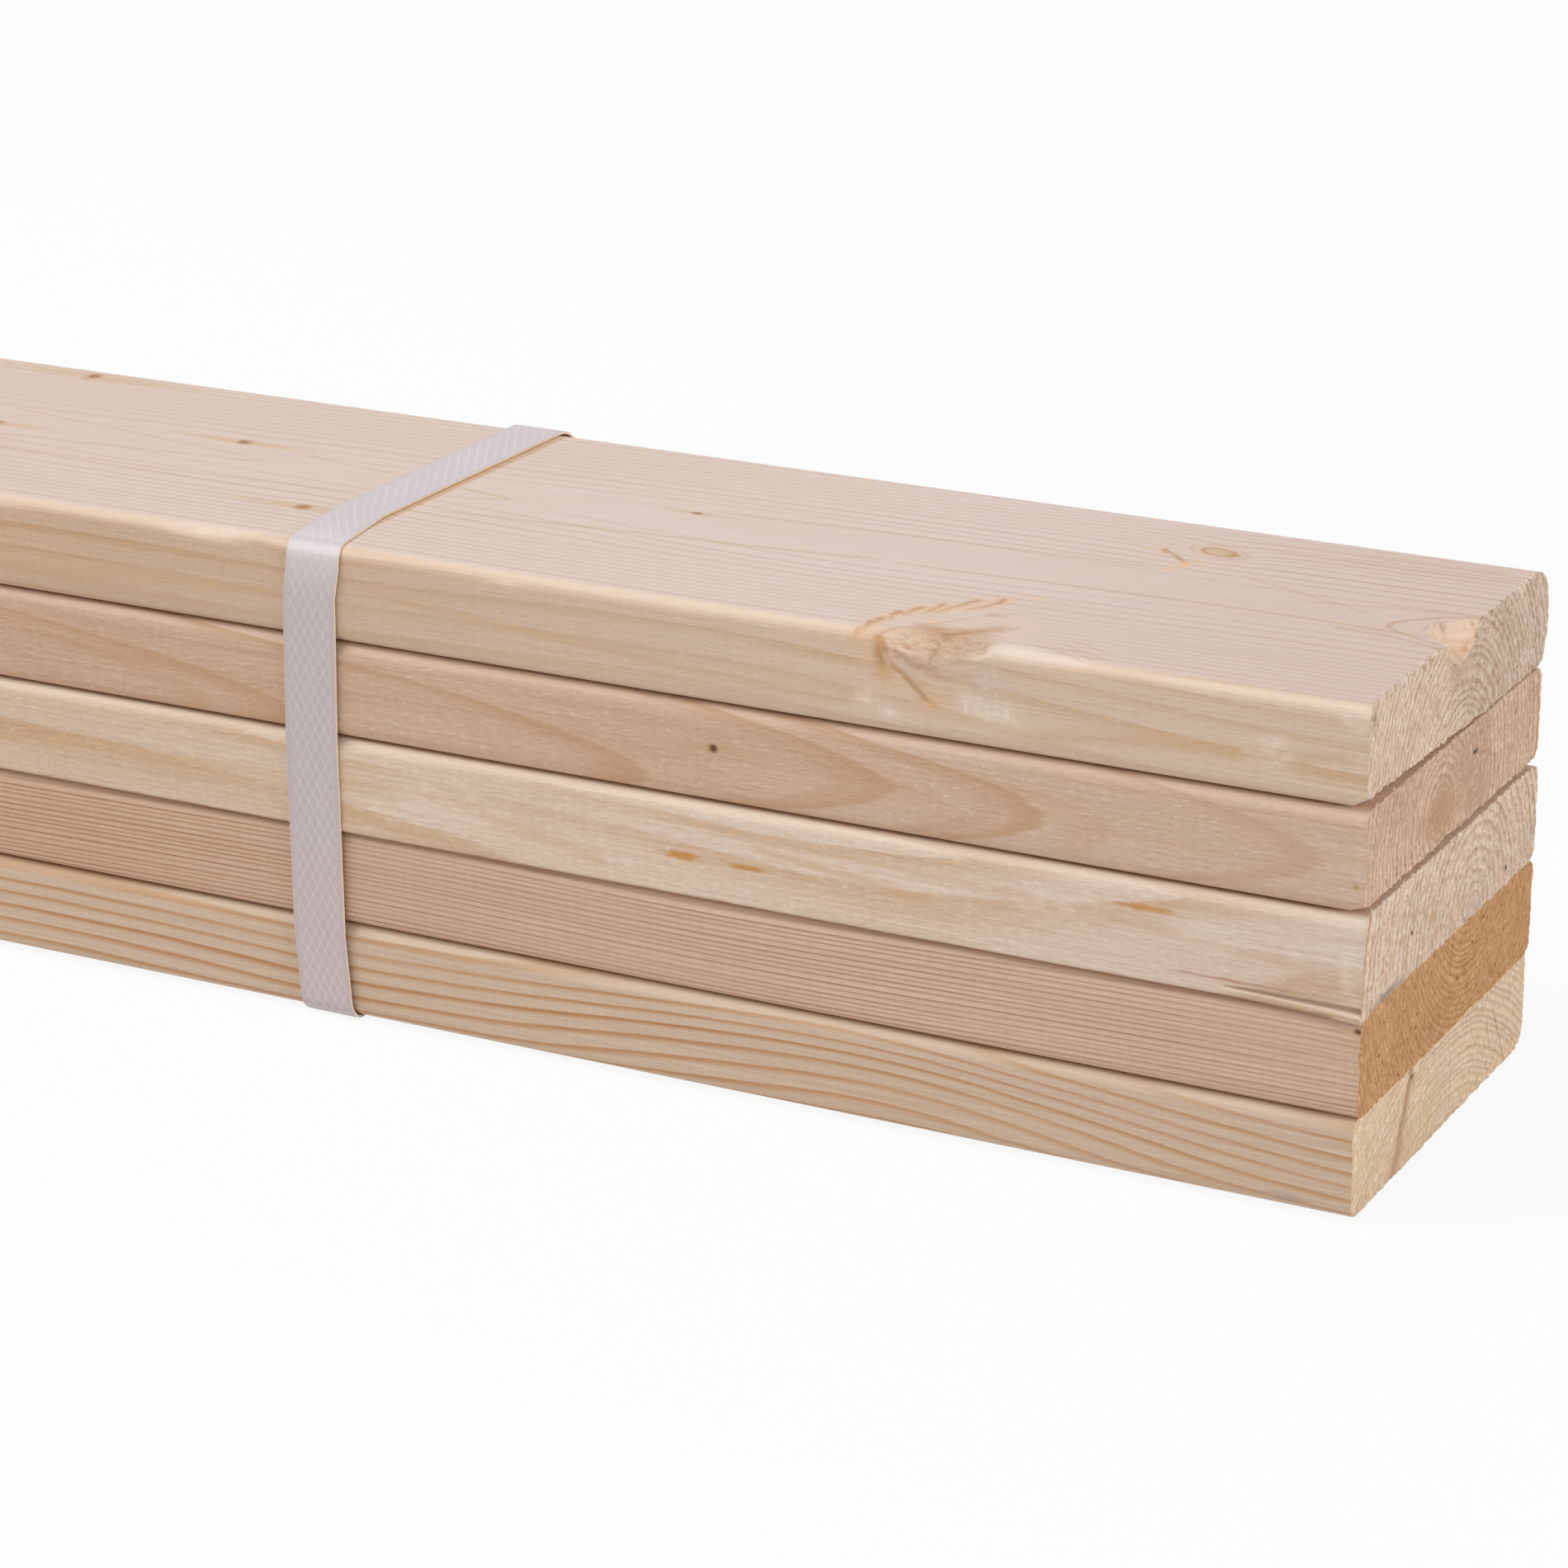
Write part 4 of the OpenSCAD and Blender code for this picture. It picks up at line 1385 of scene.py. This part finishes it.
paintEnd = {
    "stud_1": [crackColour],
    "stud_3": [
        resinColour(
            (0.68, 0.41, 0.19),
            stain((0.0, 36.3, 7.9), (3.0, 3.0, 1.2), 0.6),
            stain((0.0, 20.9, 8.4), (3.0, 2.2, 1.0), 0.6),
            stain((0.0, 78.1, 3.5), (3.0, 0.7, 1.0), 1.0, (0.08, 0.04, 0.03)),
            stain((0.0, 25.2, 8.5), (3.0, 0.5, 0.6), 1.0, (0.10, 0.05, 0.03)),
            stain((0.0, 14.0, 0.6), (3.0, 10.0, 1.3), 0.7, (0.36, 0.28, 0.23)),
            stain((0.0, 60.0, 2.5), (3.0, 5.0, 3.0), 0.7, (0.80, 0.64, 0.52)),
        )
    ],
    "stud_4": [
        resinColour(
            (0.62, 0.38, 0.22),
            stain((0.0, 57.4, 13.9), (3.0, 2.0, 0.6), 1.0, (0.06, 0.03, 0.02)),
            stain((0.0, 80.0, 15.0), (3.0, 0.7, 0.9), 0.7, (0.20, 0.12, 0.08)),
            stain((0.0, 39.0, 7.0), (3.0, 9.0, 7.0), 0.7, (0.57, 0.33, 0.19)),
            stain((0.0, 48.0, 12.0), (3.0, 8.0, 10.0), 0.45, (0.62, 0.40, 0.25)),
        )
    ],
}


def makeStud(name, look):
    low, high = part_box(name)
    wane = look.get("wane", 0.0)
    size = np.array(high - low) / mm - np.array((0.0, wane, 0.0))
    corner = Vector((high.x, low.y, low.z))
    edges = look["edges"]
    scatterKnots(look, size)
    columns = easedAxis(size[1], (edges[0], edges[3]), (edges[1], edges[2]), shell["acrossStep"])
    rows = easedAxis(size[2], (edges[0], edges[1]), (edges[2], edges[3]), shell["upStep"])
    if name == "stud_3":
        crackRows = split["rise"] + np.array((-0.4, -0.2, 0.0, 0.2, 0.4))
        rows = np.unique(np.round(np.concatenate((rows, crackRows)), 4))
    coarse = (set(columns), set(rows))
    columns, rows = finer(columns, shell["fineStep"]), finer(rows, shell["fineStep"])
    endZone = shell["endZone"].get(name, shell["plainZone"])
    stations = studStations(size[0], spans.get(name, plainSpans), endZone)
    at, faces, sides = studShell(stations, columns, rows, coarse)
    spot = at.copy()
    easeEdges(spot, size, edges)
    if wane:
        bulgeBack(spot, size, wane)
    roughenEnds(spot, at, size, look)
    for cut in damage.get(name, []):
        cut(spot, at, size)

    mesh = bpy.data.meshes.new(name)
    mesh.from_pydata((spot * mm + np.array(corner)).tolist(), [], faces)
    mesh.materials.append(faceWood(name, corner, look, paintFace.get(name, [])))
    mesh.materials.append(endWood(name, corner, look, paintEnd.get(name, [])))
    sawn = np.arange(len(faces)) >= sides
    mesh.polygons.foreach_set("material_index", sawn.astype(np.int32))
    mesh.polygons.foreach_set("use_smooth", np.ones(len(faces), bool))
    mesh.update()
    creaseEnds(mesh, sawn)
    markFaces(mesh)
    if look["coats"]:
        coat = np.zeros((len(at), 4))
        for layCoat in look["coats"]:
            layCoat(coat, spot, at, size)
        attribute = mesh.attributes.new("coat", "FLOAT_COLOR", "POINT")
        attribute.data.foreach_set("color", coat.astype(np.float32).ravel())
    obj = bpy.data.objects.new("planed_" + name, mesh)
    scene.collection.objects.link(obj)
    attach(obj, "root")
    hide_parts(name)
    print(name, "has", sum(len(f) - 2 for f in faces), "triangles")
    return mesh, at, size


def creaseEnds(mesh, sawn):
    # a sharp edge where a sawn end meets the planed faces
    kind = {}
    for polygon, cut in zip(mesh.polygons, sawn):
        for key in polygon.edge_keys:
            kind.setdefault(key, set()).add(bool(cut))
    sharp = mesh.attributes.new("sharp_edge", "BOOLEAN", "EDGE")
    sharp.data.foreach_set("value", np.array([len(kind[edge.key]) == 2 for edge in mesh.edges]))


def markFaces(mesh):
    # narrowFace is 1 on the front and back, and roundedEdge is 1 halfway round the upper eased edges, where
    # the planed wood gets a painted highlight
    normals = np.zeros(len(mesh.vertices) * 3, np.float32)
    mesh.vertex_normals.foreach_get("vector", normals)
    x, y, z = normals.reshape(-1, 3).T
    tilt = np.clip((np.abs(y) - 0.3) / 0.5, 0.0, 1.0)
    values = {"narrowFace": tilt * tilt * (3.0 - 2.0 * tilt)}
    values["roundedEdge"] = (2.0 * y * np.maximum(z, 0.0)) ** 2
    for name, value in values.items():
        attribute = mesh.attributes.new(name, "FLOAT", "POINT")
        attribute.data.foreach_set("value", value.astype(np.float32))


stack = {name: makeStud(name, look) for name, look in studs.items()}


def bakeNodes(name, source, tree, values, solid=None):
    # runs a node tree on the source and keeps the result as a plain mesh
    obj = bpy.data.objects.new(name, source)
    scene.collection.objects.link(obj)
    modifier = obj.modifiers.new("nodes", "NODES")
    modifier.node_group = tree
    for item in tree.interface.items_tree:
        if item.in_out == "INPUT" and item.name in values:
            modifier[item.identifier] = values[item.name]
    if solid:
        wall = obj.modifiers.new("wall", "SOLIDIFY")
        wall.thickness = solid
        wall.offset = -1.0
    graph = bpy.context.evaluated_depsgraph_get()
    mesh = bpy.data.meshes.new_from_object(obj.evaluated_get(graph))
    bpy.data.objects.remove(obj)
    return mesh


# Torn fibres

fibres = {"perSquareMillimetre": 4.0, "length": 0.75, "radius": 0.13, "sides": 4, "rim": 1.2}


def fibreTree():
    # slivers strewn where the wood's fuzz attribute says, leaning outwards and any way along the face
    inputs = [("Wood", "Geometry"), ("Density", "Float"), ("Length", "Float"), ("Radius", "Float")]
    inputs += [("Seed", "Int"), ("Material", "Material")]
    tree, given, sink = newGroup("torn fibres", "GeometryNodeTree", inputs, [("Geometry", "Geometry")])
    fuzz = addNode(tree, "GeometryNodeInputNamedAttribute", {"Name": "fuzz"}, data_type="FLOAT")
    density = Wire(tree, fuzz.outputs[0]) * given["Density"]
    spread = {"Mesh": given["Wood"], "Density": density, "Seed": given["Seed"]}
    strewn = addNode(tree, "GeometryNodeDistributePointsOnFaces", spread, distribute_method="RANDOM")
    sizes = {"Radius Top": 0.0, "Radius Bottom": given["Radius"], "Depth": given["Length"]}
    sliver = addNode(tree, "GeometryNodeMeshCone", {"Vertices": fibres["sides"], **sizes})
    aside = {0: (-0.3, -1.0, -1.0), 1: (0.3, 1.0, 1.0), 8: given["Seed"]}
    aside = addNode(tree, "FunctionNodeRandomValue", aside, data_type="FLOAT_VECTOR")
    outward = Wire(tree, strewn.outputs["Normal"]) * 0.6
    lean = vectorMaths(tree, "ADD", outward, Wire(tree, aside.outputs[0]))
    turn = addNode(tree, "FunctionNodeAlignRotationToVector", {"Vector": lean}, axis="Z")
    share = {2: 0.4, 3: 1.3, 8: given["Seed"] + 1.0}
    share = addNode(tree, "FunctionNodeRandomValue", share, data_type="FLOAT")
    placed = addNode(tree, "GeometryNodeInstanceOnPoints")
    tree.links.new(strewn.outputs["Points"], placed.inputs["Points"])
    tree.links.new(sliver.outputs["Mesh"], placed.inputs["Instance"])
    tree.links.new(turn.outputs[0], placed.inputs["Rotation"])
    tree.links.new(share.outputs[1], placed.inputs["Scale"])
    made = passOn(tree, Wire(tree, placed.outputs[0]), "GeometryNodeRealizeInstances")
    made = passOn(tree, made, "GeometryNodeSetMaterial", {"Material": given["Material"]})
    plug(tree, made, sink.inputs[0])
    return tree


def fuzzOf(name, at, size):
    # how thickly the fibres stand: along the rims of the right end, and in patches on it
    u, v, w = at.T
    seed = int(studs[name]["seed"]) * 10
    rim = np.clip(1.0 - (size[2] - w) / fibres["rim"], 0.0, 1.0)
    if name in breakout:
        rim = np.maximum(rim, np.clip(1.0 - w / fibres["rim"], 0.0, 0.8))
    rim *= np.clip(0.5 + roughness(at, (9.0, 2.5, 2.5), seed + 5), 0.0, 1.0)
    patch = np.clip(1.2 * roughness(at, (9.0, 4.0, 3.0), seed + 6) - 0.1, 0.0, 1.0)
    inner = np.clip((size[1] - 4.0 - v) / 4.0, 0.0, 1.0) * (u > -0.01)
    return studs[name]["lint"] * (rim + 0.12 * patch) * inner


def makeFibres(name, tree, look):
    mesh, at, size = stack[name]
    wood = mesh.copy()
    attribute = wood.attributes.new("fuzz", "FLOAT", "POINT")
    attribute.data.foreach_set("value", fuzzOf(name, at, size).astype(np.float32))
    material, shader = newMaterial(name + "_fibre")
    finishMaterial(shader, {"Base Color": look["fibre"], "Roughness": 0.8, "Specular IOR Level": 0.2})
    values = {"Density": fibres["perSquareMillimetre"] / mm**2, "Length": fibres["length"] * mm}
    values.update({"Radius": fibres["radius"] * mm, "Seed": int(look["seed"]), "Material": material})
    fuzzy = bakeNodes(name + "_fibres", wood, tree, values)
    tips = np.empty(len(fuzzy.vertices) * 3, np.float32)
    fuzzy.vertices.foreach_get("co", tips)
    # none stands out of the whole model's box
    tips = np.clip(tips.reshape(-1, 3), cadLow, cadHigh).astype(np.float32)
    fuzzy.vertices.foreach_set("co", tips.ravel())
    obj = bpy.data.objects.new("torn_fibres_" + name, fuzzy)
    scene.collection.objects.link(obj)
    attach(obj, "root")
    print(name, "has", len(fuzzy.polygons) // (fibres["sides"] + 1), "torn fibres")


fibreNodes = fibreTree()
for name, look in studs.items():
    makeFibres(name, fibreNodes, look)


# Bands

band = {
    "width": 12.0,
    "thickness": 0.7,
    "wall": 0.5,  # drawn thinner, as it is pulled tight
    "cornerRadius": (7.5, 4.1, 4.1, 4.1),  # outside: back upper, front upper, front lower, back lower
    "diamondLength": 4.0,
    "diamondWidth": 2.1,
    "relief": 0.06,
    "margin": 0.9,
    "stepAlong": 0.5,
    "stepAcross": 0.3,
    "stepLaid": 2.0,  # between the points of the loop
    "lapLength": 38.0,
    "lapTaper": 1.5,
    "weldLength": 16.0,
    "weldFade": 0.8,
    "weldPitch": 1.2,  # of the ribs that the welding left
    "colour": (0.585, 0.50, 0.50),
    "raised": (0.685, 0.605, 0.61),
    "creaseAndHighlight": (0.86, 0.79, 0.79),  # whitened crease where it bends over the edge, with a broader painted highlight round the bend
    "wallShadeTone": (0.90, 0.72, 0.53),  # painted shade: the band's side walls take the tan of the wood in its shadow
    "topRunTint": (0.93, 0.92, 0.955),  # tint where the band faces up, on its top run
    "taut": (0.3, 0.5),  # how far the front and top runs are pulled in to the wood
    "wander": {  # sideways along the studs, by the height on the front run and the depth on the top run
        "up": ((0.0, 18.0, 60.0, 90.0, 97.0), (1.6, 0.2, 0.0, 0.6, 1.8)),
        "back": ((0.0, 5.0, 23.0, 99.0), (1.8, 1.5, -1.3, -0.9)),
    },
}


def bandTree():
    # a flat grid bent along a path, with raised diamond lines between plain margins
    floats = ["Length", "Width", "Diamond length", "Diamond width", "Relief", "Margin"]
    floats += ["Weld start", "Weld end", "Crease"]
    inputs = [("Path", "Geometry")] + [(name, "Float") for name in floats]
    inputs += [("Points along", "Int"), ("Points across", "Int"), ("Material", "Material")]
    tree, given, sink = newGroup("embossed band", "GeometryNodeTree", inputs, [("Geometry", "Geometry")])
    sizes = {"Size X": given["Length"], "Size Y": given["Width"]}
    counts = {"Vertices X": given["Points along"], "Vertices Y": given["Points across"]}
    grid = addNode(tree, "GeometryNodeMeshGrid", {**sizes, **counts})
    position = addNode(tree, "GeometryNodeInputPosition")
    x, across, z = parts(Wire(tree, position.outputs[0]))
    along = x + given["Length"] / 2.0
    here = {"Curves": given["Path"], "Length": along}
    sample = addNode(tree, "GeometryNodeSampleCurve", here, mode="LENGTH")
    tangent = Wire(tree, sample.outputs["Tangent"])
    outward = vectorMaths(tree, "CROSS_PRODUCT", tangent, (1.0, 0.0, 0.0))

    first = along / given["Diamond length"] + across / given["Diamond width"]
    second = along / given["Diamond length"] - across / given["Diamond width"]
    ridges = [ramp(absolute(maths(tree, "FRACT", x) - 0.5), 0.36, 0.47) for x in (first, second)]
    half, margin = given["Width"] / 2.0, given["Margin"]
    inside = ramp(absolute(across), half - margin, half - margin * 1.4)
    fade = band["weldFade"] * mm
    welded = ramp(along, given["Weld start"], given["Weld start"] + fade)
    welded = welded * ramp(along, given["Weld end"], given["Weld end"] - fade)
    ribs = maths(tree, "SINE", along * (2.0 * math.pi / (band["weldPitch"] * mm))) * 0.25 + 0.1
    pattern = most(ridges[0], ridges[1]) * inside
    height = pattern * (1.0 - welded) + ribs * welded * inside - 1.0

    lift = scaled(outward, height * given["Relief"])
    spot = vectorMaths(tree, "ADD", Wire(tree, sample.outputs["Position"]), lift)
    spot = vectorMaths(tree, "ADD", spot, vector(tree, across, 0.0, 0.0))
    fromCrease = (along - given["Crease"]) / mm
    # a broad painted highlight round the bend, and the thin whitened crease
    pale = falloff(fromCrease / 7.0) * 0.5 + falloff(fromCrease / 0.5) * 0.4
    made = Wire(tree, grid.outputs["Mesh"])
    for name, value in (("relief", pattern * (1.0 - welded)), ("creaseAndHighlight", pale)):
        kept = {"data_type": "FLOAT", "domain": "POINT"}
        made = passOn(tree, made, "GeometryNodeStoreNamedAttribute", {"Name": name, "Value": value}, **kept)
    made = passOn(tree, made, "GeometryNodeSetPosition", {"Position": spot})
    made = passOn(tree, made, "GeometryNodeMergeByDistance", {"Distance": 0.01 * mm})
    made = passOn(tree, made, "GeometryNodeRealizeInstances")
    made = passOn(tree, made, "GeometryNodeSetMaterial", {"Material": given["Material"]})
    plug(tree, made, sink.inputs[0])
    return tree


def bandPlastic(spec):
    # off-white polypropylene, clouded by its stretching, lighter on the raised lines
    material, tree = newMaterial("band_plastic")
    coords = tree.nodes.new("ShaderNodeTexCoord")
    place = Wire(tree, coords.outputs["Object"])
    cloud = grain(place, (260.0, 70.0, 70.0), 51.0, 3.0)
    strand = grain(place, (2600.0, 40.0, 40.0), 52.0, 2.0)
    tone = blend(pointValue(tree, "relief"), spec["colour"], spec["raised"])
    tone = blend(pointValue(tree, "creaseAndHighlight"), tone, spec["creaseAndHighlight"])
    normal = parts(Wire(tree, tree.nodes.new("ShaderNodeNewGeometry").outputs["Normal"]))
    # painted shade: walls facing along the studs get the tan of the shaded wood beside the band
    tone = blend(ramp(absolute(normal[0]), 0.5, 0.9), tone, spec["wallShadeTone"])
    tone = tinted(tone, ramp(normal[2], 0.3, 0.9), spec["topRunTint"])
    tone = scaled(tone, cloud * 0.10 + strand * 0.06 + 1.0)
    height = strand * 0.5 + cloud
    inputs = {"Base Color": tone, "Roughness": 0.42, "Specular IOR Level": 0.45}
    finishMaterial(tree, inputs, height, bumpDepth["band"])
    return material


def pathCurve(name, points, closed):
    data = bpy.data.curves.new(name, "CURVE")
    data.dimensions = "3D"
    line = data.splines.new("POLY")
    line.points.add(len(points) - 1)
    line.points.foreach_set("co", [x for p in points for x in (*p, 1.0)])
    line.use_cyclic_u = closed
    return data


def loopPoints(x, low, high, radii):
    # round rectangle in y and z, counter-clockwise seen from +X, starting on the back run
    points = []
    corners = [(high[1], high[2], 0), (low[1], high[2], 90), (low[1], low[2], 180), (high[1], low[2], 270)]
    for (y, z, start), radius in zip(corners, radii):
        middleY = y + (radius if start in (90, 180) else -radius)
        middleZ = z + (radius if start in (180, 270) else -radius)
        for angle in np.radians(np.linspace(start, start + 90, 13)):
            points.append((x, middleY + radius * math.cos(angle), middleZ + radius * math.sin(angle)))
    return points


def pathLength(points, closed):
    ends = points[1:] + (points[:1] if closed else [])
    return sum(math.dist(a, b) for a, b in zip(points, ends))


def layLoop(loop, low):
    # the loop in short steps, pulled tight and wandering a little sideways
    front, top = band["taut"]
    up, over = band["wander"]["up"], band["wander"]["back"]
    points = []
    for start, end in zip(loop, loop[1:] + loop[:1]):
        steps = max(1, round(math.dist(start, end) / (band["stepLaid"] * mm)))
        for share in np.linspace(0.0, 1.0, steps + 1)[:-1]:
            x, y, z = np.array(start) + (np.array(end) - np.array(start)) * share
            depth, height = (y - low.y) / mm, (z - low.z) / mm
            if depth < 1.0:
                aside = np.interp(height, *up)
            elif height > 50.0:
                aside = np.interp(depth, *over)
            else:
                aside = np.interp(depth, (1.0, 90.0), (up[1][0], over[1][-1]))
            y += front * mm * np.clip(1.0 - depth / 8.0, 0.0, 1.0)
            z -= top * mm * np.clip((height - 92.0) / 8.0, 0.0, 1.0)
            points.append((x + aside * mm, y, z))
    return points


def makeBand(name, spec, tree, plastic):
    low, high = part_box(name)
    x = (low.x + high.x) / 2.0
    back = high.y - spec["thickness"] * mm  # outside of the single band on its back run
    loop = loopPoints(x, low, (high.x, back, high.z), [radius * mm for radius in spec["cornerRadius"]])
    crease = pathLength(loop[:21], False)  # where it bends over the front upper edge
    loop = layLoop(loop, low)
    rear = spec["wander"]["back"][1][-1] * mm
    middle, half = (low.z + high.z) / 2.0, spec["lapLength"] / 2.0 * mm
    taper, sunk = spec["lapTaper"] * mm, spec["thickness"] * 0.9 * mm
    lap = [(-half, -sunk), (taper - half, 0.0), (half - taper, 0.0), (half, -sunk)]
    lap = [(x + rear, high.y + out, middle + up) for up, out in lap]
    meshes = []
    for points, closed in ((loop, True), (lap, False)):
        length = pathLength(points, closed)
        weld = spec["weldLength"] * mm * (0.0 if closed else 1.0)
        values = {
            "Length": length,
            "Width": spec["width"] * mm,
            "Diamond length": length / round(length / (spec["diamondLength"] * mm)),
            "Diamond width": spec["diamondWidth"] * mm,
            "Relief": spec["relief"] * mm,
            "Margin": spec["margin"] * mm,
            "Weld start": length / 2.0 - weld / 2.0,
            "Weld end": length / 2.0 + weld / 2.0,
            "Crease": crease if closed else -1.0,
            "Points along": round(length / (spec["stepAlong"] * mm)) + 1,
            "Points across": round(spec["width"] / spec["stepAcross"]) + 1,
            "Material": plastic,
        }
        path = pathCurve(name + "_path", points, closed)
        meshes.append(bakeNodes(name + "_part", path, tree, values, spec["wall"] * mm))
    mesh = joinMeshes(name, meshes)
    obj = bpy.data.objects.new("embossed_" + name, mesh)
    scene.collection.objects.link(obj)
    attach(obj, "root")
    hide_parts(name)
    print(name, "has", len(mesh.loops) - 2 * len(mesh.polygons), "triangles")


def joinMeshes(name, meshes):
    shape = bmesh.new()
    for mesh in meshes:
        shape.from_mesh(mesh)
    joined = bpy.data.meshes.new(name)
    shape.to_mesh(joined)
    shape.free()
    for material in meshes[0].materials:
        joined.materials.append(material)
    joined.polygons.foreach_set("use_smooth", np.ones(len(joined.polygons), bool))
    joined.set_sharp_from_angle(angle=math.radians(40.0))
    return joined


bandNodes = bandTree()
plastic = bandPlastic(band)
for name in ("strap_right", "strap_left"):
    makeBand(name, band, bandNodes, plastic)
